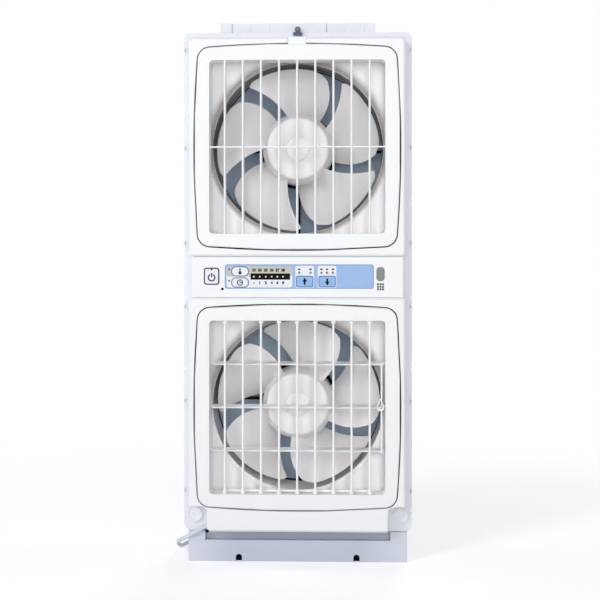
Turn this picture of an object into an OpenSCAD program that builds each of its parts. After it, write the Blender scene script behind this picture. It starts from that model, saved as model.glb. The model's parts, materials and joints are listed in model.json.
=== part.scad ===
// Twin window fan: an exhaust fan with fixed bars above, an intake fan with
// turning vanes and slats below, and a control strip between them.
// +Z is up and the front faces -Y. Depths are counted back from the front face.
// The origin is the middle of the footprint, on the sill.

/* [Overall] */
// Depth from the grille faces to the rear rim
depth = 124; // [118:1:140]
// Width of the housing's flange, which laps over the window frame
flange_w = 278; // [272:1:300]
// Thickness of the housing's flange
flange_t = 3; // [2:0.5:4]
// Depth of the housing's flange behind the front face
flange_d = 24; // [22:0.5:25]
// Height of the housing's bottom edge above the sill
housing_z = 37; // [34:1:45]
// Flange above the upper front panel
flange_top = 8.9; // [8:0.1:14]
// Width of the casing that stands in the window gap
case_w = 250; // [244:1:256]
// Wall of the casing
case_wall = 2.5; // [2:0.25:3.5]
// Corner radius of the flange
flange_r = 9; // [4:1:14]

/* [Front panels] */
// Width of the front panels
panel_w = 260.6; // [258:0.2:266]
// Wall of the front panels
panel_wall = 2; // [1.6:0.2:2.4]
// Face of the front panels behind the grille faces
panel_d = 0.6; // [0.2:0.2:1.4]
// Rounding of the front panels' front edges
panel_edge = 2.6; // [1.6:0.2:3.4]
// Corner radius of the front panels
panel_r = 5; // [3:0.5:7]
// Lower front panel above the housing's bottom edge
panel_rise = 3.3; // [2.5:0.1:8]
// Lower front panel below its opening
panel_skirt = 45.4; // [42:0.1:52]
// Front panels beside the control strip and above the upper opening
panel_margin = 27.6; // [26:0.2:32]
// Height of the control strip
strip_h = 49.3; // [46:0.1:60]
// Width of the control strip
strip_w = 254.2; // [252:0.2:257]
// Face of the control strip behind the grille faces
strip_d = 1.6; // [1.2:0.2:3]

/* [Grilles] */
// Width of both openings
opening_w = 212; // [206:1:214]
// Height of both openings
opening_h = 209; // [206:0.5:211]
// Corner radius of the openings
opening_r = 5; // [3:0.5:8]
// Border of a grille beside its opening
grille_side = 17.7; // [17:0.1:18.5]
// Border of a grille above and below its opening
grille_border = 19.2; // [18:0.1:20]
// Bulge of a grille's sides
grille_bulge = 4; // [2:0.5:5]
// Corner radius of a grille
grille_r = 15; // [10:1:18]
// Gap round a grille
grille_gap = 1.4; // [0.8:0.1:1.5]
// Depth of the rim round a grille
grille_rim_d = 10; // [6:0.5:12]
// Width of the finger notch above a grille
tab_w = 21.8; // [16:0.2:26]
// Thickness of a grille's face
grille_t = 2.5; // [2:0.25:3]
// Depth of the wall round a grille's opening
grille_wall_d = 27; // [26.5:0.5:28]
// Thickness of the wall round a grille's opening
grille_wall = 2.5; // [2:0.25:3]
// Vertical bars or vanes in an opening
bar_count = 9; // [7:1:11]
// Spacing of the bars and vanes
bar_pitch = 21.8; // [21:0.2:22.4]
// Width of a bar
bar_w = 2.6; // [2.4:0.2:3.6]
// Height of the rib across the bars
rib_t = 1.6; // [1.2:0.2:2.4]
// Depth of a bar from front to back
bar_deep = 9; // [6:0.5:12]

/* [Vanes and slats] */
// Thickness of a vane
vane_t = 2.6; // [2:0.2:3]
// Depth of a vane from front to back
vane_chord = 12; // [11:0.5:12.5]
// Depth of the vanes' pivots behind the front face
vane_pivot_d = 4.5; // [4:0.25:5]
// Link pins behind the vanes' pivots
vane_arm = 7; // [6:0.25:7.25]
// Depth of a slat from front to back
slat_chord = 12; // [10:0.5:12]
// Thickness of a slat
slat_t = 2; // [1.6:0.2:2.4]
// Spacing of the slats
slat_pitch = 52.5; // [44:0.5:54]
// Middle slat below the fan's middle
slat_drop = 1.1; // [0:0.1:2]
// Depth of the slats' pivots behind the front face
slat_pivot_d = 21.2; // [21:0.1:21.5]
// Slope of the slats at rest, front edge down
slat_tilt = 12; // [6:1:16]
// Radius of the pivot pins of the vanes and slats
pin_r = 1.1; // [0.9:0.1:1.3]
// Radius of the vanes' collars
collar_r = 2.8; // [2.4:0.1:3.2]
// Radial running clearance of pins and shafts
run_gap = 0.06; // [0.03:0.01:0.1]
// Free play at the ends of turning and sliding pieces
end_gap = 0.4; // [0.3:0.05:0.6]

/* [Fans] */
// Radius at the blade tips
tip_r = 101; // [96:0.5:102.5]
// Radius of the air duct round a fan
duct_r = 104.5; // [104:0.5:106]
// Radius of the duct's rounded mouth
mouth_r = 109; // [108:0.5:110]
// Wall of the duct
duct_wall = 2; // [1.6:0.2:2.6]
// Radius of a hub at its front
hub_r = 39; // [38:0.5:41]
// Growth of a hub's radius from front to back
hub_flare = 5; // [2:0.5:6]
// Depth of the hubs' front faces
hub_d = 31; // [30:0.5:34]
// Length of a hub from front to back
hub_len = 47; // [42:1:48]
// Wall of a hub
hub_wall = 2.4; // [2:0.2:3]
// Blades on each fan
blade_count = 5; // [4:1:6]
// Thickness of a blade
blade_t = 2; // [1.6:0.2:2.6]
// Depth that a blade takes up at the hub
blade_rise = 36; // [28:1:38]
// Radius of the motor shafts
shaft_r = 3; // [2.5:0.25:4]

/* [Motors and shutters] */
// Radius of a motor
motor_r = 35.5; // [32:0.5:36]
// Depth of a motor's front end
motor_d = 74; // [73:0.5:76]
// Length of a motor
motor_len = 38; // [35:1:40]
// Radius of the ring that holds a motor
ring_r = 47.5; // [45:0.5:48]
// Thickness of the motor carrier's arms
arm_t = 3; // [2:0.5:4]
// Depth of the motor carriers' front
carrier_d = 88; // [87:0.5:90]
// Depth of the motor carriers from front to back
carrier_t = 10; // [8:0.5:11]
// Depth of the closed shutter doors
door_d = 104; // [103.5:0.5:106]
// Thickness of a shutter door
door_t = 2.5; // [2:0.25:3]
// Height of a pair of shutter doors
door_h = 214; // [212:1:220]
// Door rods inside the casing's side faces
rod_inset = 15.5; // [13:0.5:16]
// Radius of the door rods
rod_r = 1.5; // [1.25:0.25:2]

/* [Brackets] */
// Width of the lower bracket
sill_w = 266.4; // [262:0.2:272]
// Height of the lower bracket's front plate
sill_h = 22; // [20:0.5:26]
// Depth of the lower bracket's front plate behind the front face
sill_d = 21; // [20:0.5:22]
// Thickness of the lower bracket
sill_t = 2; // [1.5:0.25:2.5]
// Depth of the lower bracket from front to back
sill_deep = 92; // [84:1:98]
// Width of the screw slots in the lower bracket
slot_w = 7.4; // [6:0.2:9]
// Height of the screw slots
slot_h = 8.9; // [7.5:0.1:12]
// Distance of the screw slots from the middle
slot_x = 71.6; // [60:0.2:90]
// Width of the top bracket
top_w = 190; // [184:1:196]
// Top bracket above the flange
top_rise = 13; // [10:0.5:18]
// Travel of the top bracket
top_travel = 45; // [20:1:48]
// Depth of the top bracket behind the front face
top_d = 33.5; // [33:0.5:36]
// Sheet thickness of the top bracket
top_t = 1.5; // [1.2:0.1:2]
// Radius of the corner fixing knobs
knob_r = 8.9; // [7:0.1:10]
// Corner fixing knobs inside the flange's side edges
knob_inset = 13.5; // [12.5:0.5:14.5]
// Height of the corner fixing knobs above the housing's bottom edge
knob_z = 20; // [18:0.5:22]

/* [Controls] */
// Controls above the middle of the strip
control_rise = 0.7; // [0:0.1:2]
// Height and width of the power button
power_size = 18; // [16:0.5:20]
// Travel of the buttons
button_travel = 1; // [0.6:0.1:1.2]
// Buttons stand out by this much
button_proud = 0.8; // [0.4:0.1:1.2]
// Gap round a button
button_gap = 0.4; // [0.3:0.05:0.5]
// Thickness of the circuit board
board_t = 1.6; // [1.2:0.2:2]
// Depth of the circuit board behind the strip's face
board_d = 9; // [8:0.5:11]

/* [Cord] */
// Width of the flat twin cord
cord_d = 5; // [4:0.5:6]
// Turns in the cord's coil
coil_turns = 8; // [6:1:10]
// Radius of the coil at the middle of its turns
coil_r = 28; // [26:1:32]

/* [Hidden] */
$fn = 48;
flange_z1 = housing_z + panel_rise + panel_skirt + 2 * opening_h + 3 * panel_margin + strip_h + flange_top;
lower_z0 = housing_z + panel_rise;
lower_z1 = lower_z0 + panel_skirt + opening_h + panel_margin;
upper_z0 = lower_z1 + strip_h;
upper_z1 = upper_z0 + opening_h + 2 * panel_margin;
lower_fan_z = lower_z0 + panel_skirt + opening_h / 2;
upper_fan_z = upper_z0 + panel_margin + opening_h / 2;
fans = [lower_fan_z, upper_fan_z];
slat_mid_z = lower_fan_z - slat_drop;
strip_z = (lower_z1 + upper_z0) / 2 + control_rise;
case_z0 = housing_z + 3;
case_z1 = flange_z1 - 5;
front_wall_d = flange_d + 5;
back_wall_d = 98.5;
back_wall_t = 2.5;
mouth_round = 12;
sides = [-1, 1];
rod_d = door_d + 2.8;
knuckle_r = 2.8;
door_gap = 1.2;
grille_w = opening_w + 2 * grille_side;
grille_h = opening_h + 2 * grille_border;
ledge_d = grille_rim_d + 0.3;
ledge_t = 2;
shaft_d0 = hub_d + 3;
board_face_d = strip_d + board_d;
knob_zc = housing_z + knob_z;
shank_r = 4;
cord_x = 111.5;
rod_x = case_w / 2 - rod_inset;
knob_x = flange_w / 2 - knob_inset;
corner_x = knob_x - 17;
corner_z = knob_zc + 14.3;
door_rib = 49.5;
rib_x = rod_x - door_rib;
board_h = 40;
bay_wall = 2;
seat_gap = 0.3;
foot_z = 100;
bay_gap = 5;
bay_walls = [lower_z1 + bay_gap, upper_z0 - bay_gap];

// A flat shape drawn over X and Z, thickened from depth d0 to depth d1
module slab(d0, d1) {
    translate([0, d1 - depth / 2, 0])
        rotate([90, 0, 0])
            linear_extrude(d1 - d0) children();
}

// A profile of [radius, depth] points turned about a fan's axis
module turned(x, z, points) {
    translate([x, -depth / 2, z])
        rotate([-90, 0, 0])
            rotate_extrude($fn = 72) polygon(points);
}

// A round bar along the depth
module rod_y(x, z, r, d0, d1) {
    translate([x, d0 - depth / 2, z])
        rotate([-90, 0, 0])
            cylinder(r = r, h = d1 - d0);
}

// A round bar along the height
module rod_z(x, d, r, z0, z1) {
    translate([x, d - depth / 2, z0])
        cylinder(r = r, h = z1 - z0);
}

// A round bar along the width
module rod_x(d, z, r, x0, x1) {
    translate([x0, d - depth / 2, z])
        rotate([0, 90, 0])
            cylinder(r = r, h = x1 - x0);
}

// A rectangle between two corners
module rect(x0, x1, z0, z1) {
    translate([x0, z0]) square([x1 - x0, z1 - z0]);
}

// A rectangle with round corners
module round_rect(x0, x1, z0, z1, r) {
    rect(x0 + r, x1 - r, z0, z1);
    rect(x0, x1, z0 + r, z1 - r);
    for (x = [x0 + r, x1 - r], z = [z0 + r, z1 - r]) translate([x, z]) circle(r);
}

// A box between two corners, given by width, depth and height
module block(x0, x1, d0, d1, z0, z1) {
    translate([x0, d0 - depth / 2, z0]) cube([x1 - x0, d1 - d0, z1 - z0]);
}

// The bulging square of a grille: half size h, bulge s, corner radius r. It is
// stretched upward to the grille's height.
function side_points(h, s, c, n) =
    [for (i = [-n:n]) [c * i / n, h - s * i * i / n / n]];
function corner_points(m, r, a, n) =
    [for (i = [1:n - 1]) [m + r * cos(90 - a - (90 - 2 * a) * i / n),
        m + r * sin(90 - a - (90 - 2 * a) * i / n)]];
function quarter(h, s, r) = let(
    a = atan(2 * s / (h - s - r)),
    c = h - s - r * (cos(a) - sin(a))
) concat(side_points(h, s, c, 6), corner_points(c - r * sin(a), r, a, 6));
function bulging(h, s, r) = [for (k = [0:3], p = quarter(h, s, r))
    [p[0] * cos(90 * k) + p[1] * sin(90 * k), p[1] * cos(90 * k) - p[0] * sin(90 * k)]];

module bulging_square(z, grow) {
    h = grille_w / 2 + grow;
    translate([0, z]) scale([1, (grille_h / 2 + grow) / h])
        polygon(bulging(h, grille_bulge, grille_r + grow));
}

module opening(z, grow) {
    w = opening_w / 2 + grow;
    h = opening_h / 2 + grow;
    round_rect(-w, w, z - h, z + h, opening_r + grow);
}

// The housing: a flange that laps the window frame and a casing behind it, with
// two ducts, a rear wall that the shutters close against and a slot for the top bracket
module housing() color("#eceef5") difference() {
    union() {
        slab(flange_d, flange_d + flange_t) flange_outline();
        slab(flange_d + flange_t, flange_d + flange_t + 4) difference() {
            flange_outline();
            round_rect(1.6 - flange_w / 2, flange_w / 2 - 1.6, housing_z + 1.6,
                flange_z1 - 1.6, flange_r - 1.6);
        }
        slab(flange_d + flange_t, depth) difference() {
            rect(-case_w / 2, case_w / 2, case_z0, case_z1);
            rect(case_wall - case_w / 2, case_w / 2 - case_wall, case_z0 + case_wall,
                case_z1 - case_wall);
        }
        for (z = bay_walls) slab(flange_d + flange_t, back_wall_d + back_wall_t)
            rect(-case_w / 2, case_w / 2, z - bay_wall / 2, z + bay_wall / 2);
        slab(back_wall_d, back_wall_d + back_wall_t)
            rect(-case_w / 2, case_w / 2, case_z0, case_z1);
        slab(back_wall_d, depth) rect(-case_w / 2, case_w / 2, strip_z - 1.25, strip_z + 1.25);
        for (z = fans, s = sides) door_seat(z, s);
        for (s = sides) bracket_guide(s);
    }
    for (z = fans) {
        slab(flange_d - 1, flange_d + flange_t + 1) opening(z, grille_wall + 1.6);
        rod_y(0, z, duct_r + duct_wall + 1, carrier_d, back_wall_d + back_wall_t + 1);
        for (s = sides) rod_z(s * rod_x, rod_d, rod_r + run_gap, z - door_h / 2 - 7,
            z + door_h / 2 + 7);
    }
    slab(flange_d - 1, flange_d + flange_t + 1)
        rect(-strip_w / 2 + 10, strip_w / 2 - 10, lower_z1 + 6, upper_z0 - 6);
    block(-top_w / 2 - end_gap, top_w / 2 + end_gap, top_d - end_gap, top_d + 4.5 + end_gap,
        case_z1 - case_wall - 1, case_z1 + 1);
    for (s = sides) rod_y(s * knob_x, knob_zc, shank_r + 0.3, flange_d - 1, flange_d + 18);
    for (s = sides) snap_notches(s);
    rod_y(-cord_x, housing_z, 3.5, flange_d - 1, flange_d + flange_t + 5);
}

module flange_outline() {
    round_rect(-flange_w / 2, flange_w / 2, housing_z, flange_z1, flange_r);
}

// The wall in front of each fan, with the duct round the fan and four feet
// that stand on the flange's back
module fan_ducts() color("#eceef5") {
    duct_plate(lower_fan_z, case_z0 + case_wall + seat_gap, bay_walls[0] - bay_wall / 2 - seat_gap);
    duct_plate(upper_fan_z, bay_walls[1] + bay_wall / 2 + seat_gap, case_z1 - case_wall - seat_gap);
}

module duct_plate(z, z0, z1) {
    w = case_w / 2 - case_wall - seat_gap;
    difference() {
        union() {
            slab(front_wall_d, front_wall_d + 2) rect(-w, w, z0, z1);
            duct(z);
            for (s = sides, k = sides) rod_y(s * (w - 7), z + k * foot_z, 3.6, flange_d + flange_t,
                front_wall_d + 0.5);
        }
        rod_y(0, z, mouth_r, front_wall_d - 1, front_wall_d + 1.9);
        rod_y(0, z, duct_r, front_wall_d - 1, carrier_d + 1);
        for (s = sides) rod_y(s * knob_x, knob_zc, shank_r + 1, front_wall_d - 1,
            front_wall_d + 3);
    }
}

// Duct round a fan, with a rounded mouth
module duct(z) {
    n = 8;
    m0 = front_wall_d + 2;
    turned(0, z, concat([[duct_r + duct_wall, carrier_d], [duct_r, carrier_d]],
        [for (i = [0:n]) [mouth_r - (mouth_r - duct_r) * sin(90 * i / n),
            m0 + mouth_round * (1 - cos(90 * (1 - i / n)))]],
        [[mouth_r + duct_wall, m0], [mouth_r + duct_wall, m0 + 1]]));
}

// Lugs that hold the ends of a door rod
module door_seat(z, s) {
    for (k = sides) {
        block(s * rod_x - 4, s * rod_x + 4, back_wall_d, rod_d + 4,
            z + k * (door_h / 2 + 3) - 2.5, z + k * (door_h / 2 + 3) + 2.5);
    }
}

// Rails in the casing's top that guide the top bracket's legs
module bracket_guide(s) {
    x0 = s * (top_w / 2 + end_gap + 1.5);
    block(x0 - 1.5, x0 + 1.5, front_wall_d + 2 + seat_gap, top_d + 8, case_z1 - 70, case_z1 - 1);
    block(min(x0, x0 - s * 5), max(x0, x0 - s * 5), top_d + 4.5 + end_gap, top_d + 8,
        case_z1 - 62, case_z1 - 1);
}

// Small notches in the flange's edges, where side filler strips clip on
module snap_notches(s) {
    span = flange_z1 - housing_z;
    for (f = [0.035, 0.17, 0.34, 0.54, 0.67, 0.965], k = sides)
        block(s * flange_w / 2 - 1.6, s * flange_w / 2 + 1.6, flange_d - 1,
            flange_d + flange_t + 5, flange_z1 - f * span + k * 4 - 1,
            flange_z1 - f * span + k * 4 + 1);
}

// A front panel: a shallow moulded tray with a bulging aperture for its grille
module front_panel(z0, z1, fan_z) {
    w = panel_w / 2;
    difference() {
        hull() {
            slab(panel_d + panel_edge, flange_d) round_rect(-w, w, z0, z1, panel_r, $fn = 32);
            slab(panel_d, panel_d + 0.1) round_rect(panel_edge - w, w - panel_edge,
                z0 + panel_edge, z1 - panel_edge, panel_r - 2, $fn = 32);
        }
        slab(panel_d + panel_wall + 0.6, flange_d + 1) difference() {
            rect(panel_wall - w, w - panel_wall, z0 + panel_wall, z1 - panel_wall);
            bulging_square(fan_z, grille_gap + 1.4);
            for (s = sides) knob_corner(s, panel_wall);
        }
        slab(panel_d - 1, ledge_d) bulging_square(fan_z, grille_gap);
        slab(ledge_d + ledge_t, flange_d + 1) bulging_square(fan_z, grille_gap);
        slab(ledge_d - 1, ledge_d + ledge_t + 1) opening(fan_z, grille_wall + 0.8);
        children();
    }
}

// Upper panel, notched above its grille for the grille's tongue
module upper_panel() color("#f8f9fd") front_panel(upper_z0, upper_z1, upper_fan_z) {
    panel_ends(upper_z0, 1);
    slab(panel_d - 1, tongue_d1 + 0.4) rect(-tab_w / 2 - 0.3, tab_w / 2 + 0.3,
        upper_fan_z + grille_h / 2 - 2, upper_z1 + 1);
}

// Lower panel, with a finger notch above its grille, a corner cut out round each
// fixing knob and a hole in the left corner for the cord
module lower_panel() color("#f8f9fd") front_panel(lower_z0, lower_z1, lower_fan_z) {
    panel_ends(lower_z1, -1);
    slab(panel_d - 1, panel_d + 1.2) rect(-tab_w / 2, tab_w / 2,
        lower_fan_z + grille_h / 2 + grille_gap + 1.5, lower_z1 + 1);
    for (s = sides) slab(panel_d - 1, flange_d + 1) knob_corner(s, 0);
    rod_y(-corner_x, lower_z0 + 1, 2.2, panel_d - 1, flange_d + 1);
    rod_x(relief_d, relief_z - 3.4, 3.6, -corner_x - 1, -corner_x + panel_wall + 1);
}

// Corner round a fixing knob
module knob_corner(s, grow) {
    x0 = s * (corner_x - grow);
    round_rect(min(x0, s * 150), max(x0, s * 150), housing_z - 20, corner_z + grow, 8 + grow);
}

// Slanted ends where a front panel meets the narrower control strip
module panel_ends(z, up) {
    for (s = sides) slab(panel_d - 1, flange_d + 1) polygon([[s * strip_w / 2, z - up],
        [s * (panel_w / 2 + 1), z - up], [s * (panel_w / 2 + 1), z + up * 2.5],
        [s * strip_w / 2, z]]);
}

// The control strip: face, returns to the flange, button holes and seats for
// the label, the lamp window and the receiver window
module control_strip() color("#f8f9fd") difference() {
    union() {
        slab(strip_d, strip_d + 2) rect(-strip_w / 2, strip_w / 2, lower_z1 + 0.4,
            upper_z0 - 0.4);
        slab(strip_d, flange_d) difference() {
            rect(-strip_w / 2, strip_w / 2, lower_z1 + 0.4, upper_z0 - 0.4);
            rect(2 - strip_w / 2, strip_w / 2 - 2, lower_z1 + 2.4, upper_z0 - 2.4);
        }
        for (x = [-board_post_x, -20, 20, board_post_x], z = sides)
            rod_y(x, strip_z + z * 17, 2.5, strip_d, board_face_d);
    }
    slab(strip_d - 1, strip_d + 0.6) label_outline(0.2);
    for (b = buttons()) slab(strip_d - 1, strip_d + 4) button_outline(b, button_gap);
    slab(strip_d - 1, strip_d + 4) receiver_outline(0.1);
    slab(strip_d - 1, strip_d + 4) lamp_outline(-1);
    slab(strip_d - 1, strip_d + 4) for (i = [-1:1], k = [-1:1])
        translate([receiver_x() + 3 * i, strip_z - 12.2 + 3 * k]) square(1.8, center = true);
    rod_y(reset_x(), strip_z - 15, 1.4, strip_d - 1, strip_d + 4);
}

board_post_x = strip_w / 2 - 15.1;
function receiver_x() = 100.1;
function reset_x() = -90.1;
function lamp_box() = [-56, -8.6, strip_z - 3.7, strip_z + 3.7];

// Each button: middle X, middle Z, width, height, corner radius
function buttons() = [
    [-103, strip_z + 0.3, power_size, power_size + 2, 3],
    [-68.7, strip_z + 6.2, 19.2, 9.8, 4.8],
    [-68.7, strip_z - 7.2, 19.2, 9.8, 4.8],
    [9.1, strip_z - 6, 18.8, 11.9, 1.5],
    [36.2, strip_z - 6, 18.8, 11.9, 1.5]];

module button_outline(b, grow) {
    round_rect(b[0] - b[2] / 2 - grow, b[0] + b[2] / 2 + grow, b[1] - b[3] / 2 - grow,
        b[1] + b[3] / 2 + grow, b[4] + grow);
}

module label_outline(grow) {
    round_rect(-87 - grow, 92 + grow, strip_z - 14.5 - grow, strip_z + 14.5 + grow, 3 + grow);
}

module lamp_outline(grow) {
    b = lamp_box();
    rect(b[0] - grow, b[1] + grow, b[2] - grow, b[3] + grow);
}

module receiver_outline(grow) {
    x = receiver_x();
    round_rect(x - 4.9 - grow, x + 4.9 + grow, strip_z - 5.4 - grow, strip_z + 11.3 + grow, 4);
}

// A push button: cap, flange behind the strip and a stem to its switch
module button(i) color("#f2f4fb") {
    b = buttons()[i];
    back = strip_d + 2.1;
    slab(strip_d - button_proud, back) button_outline(b, 0);
    slab(back - 0.001, back + 1) button_outline(b, 1.4);
    rod_y(b[0], b[1], 2, back + 0.5, board_face_d - 1.6 - button_travel);
}

module power_button() button(0);
module auto_button() button(1);
module timer_button() button(2);
module exhaust_button() button(3);
module intake_button() button(4);

// Printed label sunk in the strip's face, with the holes that the strip has
module label_plate() color("#b9d2f1") difference() {
    slab(strip_d + 0.1, strip_d + 0.6) label_outline(0);
    for (b = buttons()) slab(strip_d - 1, strip_d + 2) button_outline(b, button_gap);
    slab(strip_d - 1, strip_d + 2) lamp_outline(0.1);
}

// Dark window over the row of timer lamps
module lamp_window() color("#15171c") {
    slab(strip_d + 0.1, strip_d + 0.6) lamp_outline(0);
    slab(strip_d + 0.6, strip_d + 3) lamp_outline(-1.1);
}

module receiver_window() color("#8d9098") union() {
    slab(strip_d - 0.2, strip_d + 3) receiver_outline(0);
    slab(strip_d + 2.05, strip_d + 3) receiver_outline(1.2);
}

// Circuit board with a switch behind each button, lamps, and its transformer
module circuit_board() color("#3f7a52") difference() {
    union() {
        slab(board_face_d, board_face_d + board_t) rect(-board_post_x - 4, board_post_x,
            strip_z - board_h / 2, strip_z + board_h / 2);
        for (b = buttons()) {
            slab(board_face_d - 1.5, board_face_d + 0.1) translate([b[0], b[1]])
                square(6, center = true);
        }
        for (i = [0:5]) rod_y(-52 + 7.9 * i, strip_z, 1.5, strip_d + 3.3, board_face_d + 0.1);
        slab(board_face_d - 5, board_face_d + 0.1) rect(receiver_x() - 4, receiver_x() + 4,
            strip_z - 3, strip_z + 8);
        slab(board_face_d + board_t - 0.1, board_face_d + board_t + 11)
            rect(60, 92, strip_z - 14, strip_z + 14);
        for (x = [-20, 0]) rod_y(x, strip_z + 8, 5, board_face_d + board_t - 0.1,
            board_face_d + board_t + 11);
    }
}

// Face, rim and wall round the opening that both grilles share
module grille_frame(z) {
    difference() {
        union() {
            hull() {
                slab(0, 0.1) bulging_square(z, -1, $fn = 32);
                slab(1, grille_t) bulging_square(z, 0);
            }
            slab(grille_t - 0.1, grille_wall_d) opening(z, grille_wall);
            slab(grille_t - 0.1, grille_rim_d) difference() {
                bulging_square(z, 0, $fn = 32);
                bulging_square(z, -grille_rim_t, $fn = 32);
            }
        }
        slab(-1, grille_wall_d + 1) opening(z, 0);
    }
}

grille_rim_t = 2;
tongue_d0 = 1.8;
tongue_d1 = 4;
function bar_x(i) = (i - (bar_count - 1) / 2) * bar_pitch;

// Upper grille: fixed upright bars with round fronts, tied by one cross rib, and a
// tongue that fills the panel's notch
module upper_grille() color("#fbfbfe") {
    z = upper_fan_z;
    h = opening_h / 2 + 0.5;
    grille_frame(z);
    slab(tongue_d0, tongue_d1) rect(-tab_w / 2, tab_w / 2, z + grille_h / 2 - 1,
        upper_z1 - 0.4);
    for (i = [0:bar_count - 1]) {
        slab(bar_w / 2 + 0.6, bar_deep) rect(bar_x(i) - bar_w / 2, bar_x(i) + bar_w / 2,
            z - h, z + h);
        rod_z(bar_x(i), bar_w / 2 + 0.6, bar_w / 2, z - h, z + h, $fn = 24);
    }
    slab(2.4, bar_deep) rect(-opening_w / 2 - 0.5, opening_w / 2 + 0.5, z - rib_t / 2,
        z + rib_t / 2);
}

// Lower grille: an open frame with a pivot hole at each end of every vane and slat
module lower_grille() color("#fbfbfe") difference() {
    z = lower_fan_z;
    grille_frame(z);
    for (i = [0:bar_count - 1])
        rod_z(bar_x(i), vane_pivot_d, pin_r + run_gap, z - opening_h / 2 - grille_wall - 1,
            z + opening_h / 2 + grille_wall + 1);
    for (k = [-1:1])
        rod_x(slat_pivot_d, slat_mid_z + k * slat_pitch, pin_r + run_gap, -opening_w / 2 - grille_wall - 1,
            opening_w / 2 + grille_wall + 1);
}

// Vane: a thin upright blade with collars, pivot pins and a link pin at its foot
vane_z0 = lower_fan_z - opening_h / 2;
vane_z1 = lower_fan_z + opening_h / 2;
vane_foot = 6;
vane_front = vane_pivot_d - 1.5;
module vane(i) color("#fbfbfe") {
    x = bar_x(i - 1);
    p = vane_pivot_d;
    front = p - 3;
    rear = front + vane_chord;
    translate([x, 0, 0]) {
        translate([0, -depth / 2, vane_z0 + vane_foot])
            linear_extrude(opening_h - vane_foot - 4) vane_section(front, rear);
        translate([0, -depth / 2, vane_z1 - 4.1])
            linear_extrude(3.7) vane_section(front, p + 3);
        rod_z(0, p, collar_r, vane_z1 - end_gap - 3, vane_z1 - end_gap);
        rod_z(0, p, collar_r, vane_z0 + end_gap, vane_z0 + end_gap + 3);
        rod_z(0, p, 1.9, vane_z0 + end_gap, vane_z0 + vane_foot + 1);
        rod_z(0, p, pin_r, vane_z1 - end_gap - 0.1, vane_z1 + grille_wall - 0.3);
        rod_z(0, p, pin_r, vane_z0 - grille_wall + 0.3, vane_z0 + end_gap + 0.1);
        rod_z(0, p + vane_arm, pin_r, link_z0 - 0.8, vane_z0 + vane_foot + 0.1);
    }
}

// Section of a vane: a lens with a round nose and a thin tail
module vane_section(front, rear) {
    t = vane_t / 2;
    polygon(concat([for (a = [0:20:180]) [t * cos(a), front + t - t * sin(a)]],
        [[-t, front + 5], [-t * 0.55, rear], [t * 0.55, rear], [t, front + 5]]));
}

module vane_1() vane(1);
module vane_2() vane(2);
module vane_3() vane(3);
module vane_4() vane(4);
module vane_5() vane(5);
module vane_6() vane(6);
module vane_7() vane(7);
module vane_8() vane(8);
module vane_9() vane(9);

// Bar that turns all the vanes together, with a hole for each link pin
link_z0 = vane_z0 + 1.7;
module vane_link() color("#fbfbfe") {
    d = vane_pivot_d + vane_arm;
    reach = (bar_count - 1) / 2 * bar_pitch;
    difference() {
        union() {
            block(-reach, reach, d - 1.6, d + 1.6, link_z0, link_z0 + 2.4);
            for (i = [0:bar_count - 1]) rod_z(bar_x(i), d, 2.4, link_z0, link_z0 + 2.4);
        }
        for (i = [0:bar_count - 1])
            rod_z(bar_x(i), d, pin_r + run_gap, link_z0 - 1, link_z0 + 4);
    }
}

// Slat: a level blade on end pivots, notched at one end for the link rod
slat_arm = 5;
slat_end = opening_w / 2 - 2;
rod_x0 = slat_end - 3.2;
module slat(k) color("#f6f7fb") {
    z = slat_mid_z + k * slat_pitch;
    f = slat_chord / 2;
    t = slat_t / 2;
    translate([0, slat_pivot_d - depth / 2, z]) rotate([slat_tilt, 0, 0]) {
        difference() {
            translate([-slat_end, 0, 0]) rotate([90, 0, 90])
                linear_extrude(2 * slat_end) polygon(concat(
                    [for (a = [90:15:270]) [-f + t + t * cos(a), t * sin(a)]],
                    [[f, -0.5 * t], [f, 0.5 * t]]));
            translate([rod_x0 - 0.4, -f - 1, -5]) cube([2.8, f - 1, 10]);
        }
        for (s = sides) translate([s * (slat_end + 1), 0, 0]) rotate([0, s * 90, 0]) {
            translate([0, 0, -1.5]) cylinder(r = pin_r, h = 3 + grille_wall);
            translate([0, 0, -3]) cylinder(r = pin_r + 0.8, h = 3.6);
        }
        translate([rod_x0 - 1, -slat_arm, 0]) rotate([0, 90, 0]) cylinder(r = pin_r, h = 4.1);
    }
}

module slat_1() slat(1);
module slat_2() slat(0);
module slat_3() slat(-1);

// Rod that tilts the slats together, with a drop-shaped finger loop in the middle
module slat_link() color("#fbfbfe") {
    d = slat_pivot_d - slat_arm * cos(slat_tilt);
    dz = -slat_arm * sin(slat_tilt);
    difference() {
        union() {
            block(rod_x0, rod_x0 + 2, d - 1.2, d + 1.2, slat_mid_z - slat_pitch + dz,
                slat_mid_z + slat_pitch + dz);
            for (k = [-1:1]) rod_x(d, slat_mid_z + k * slat_pitch + dz, 2.2, rod_x0, rod_x0 + 2);
            block(rod_x0, rod_x0 + 2, 3, d, lower_fan_z - 3.6, lower_fan_z - 1.4);
            finger_loop(rod_x0 - 0.6, lower_fan_z + 0.2);
        }
        for (k = [-1:1]) rod_x(d, slat_mid_z + k * slat_pitch + dz, pin_r + run_gap,
            rod_x0 - 1, rod_x0 + 3);
    }
}

module finger_loop(x, z) {
    slab(2.6, 6) difference() {
        drop(x, z, 4.3, 10, 0.9);
        drop(x, z + 1.2, 3.2, 7.4, 0.3);
    }
}

module drop(x, z, r, rise, tip) hull() {
    translate([x, z]) circle(r);
    translate([x, z + rise]) circle(tip);
}

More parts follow.
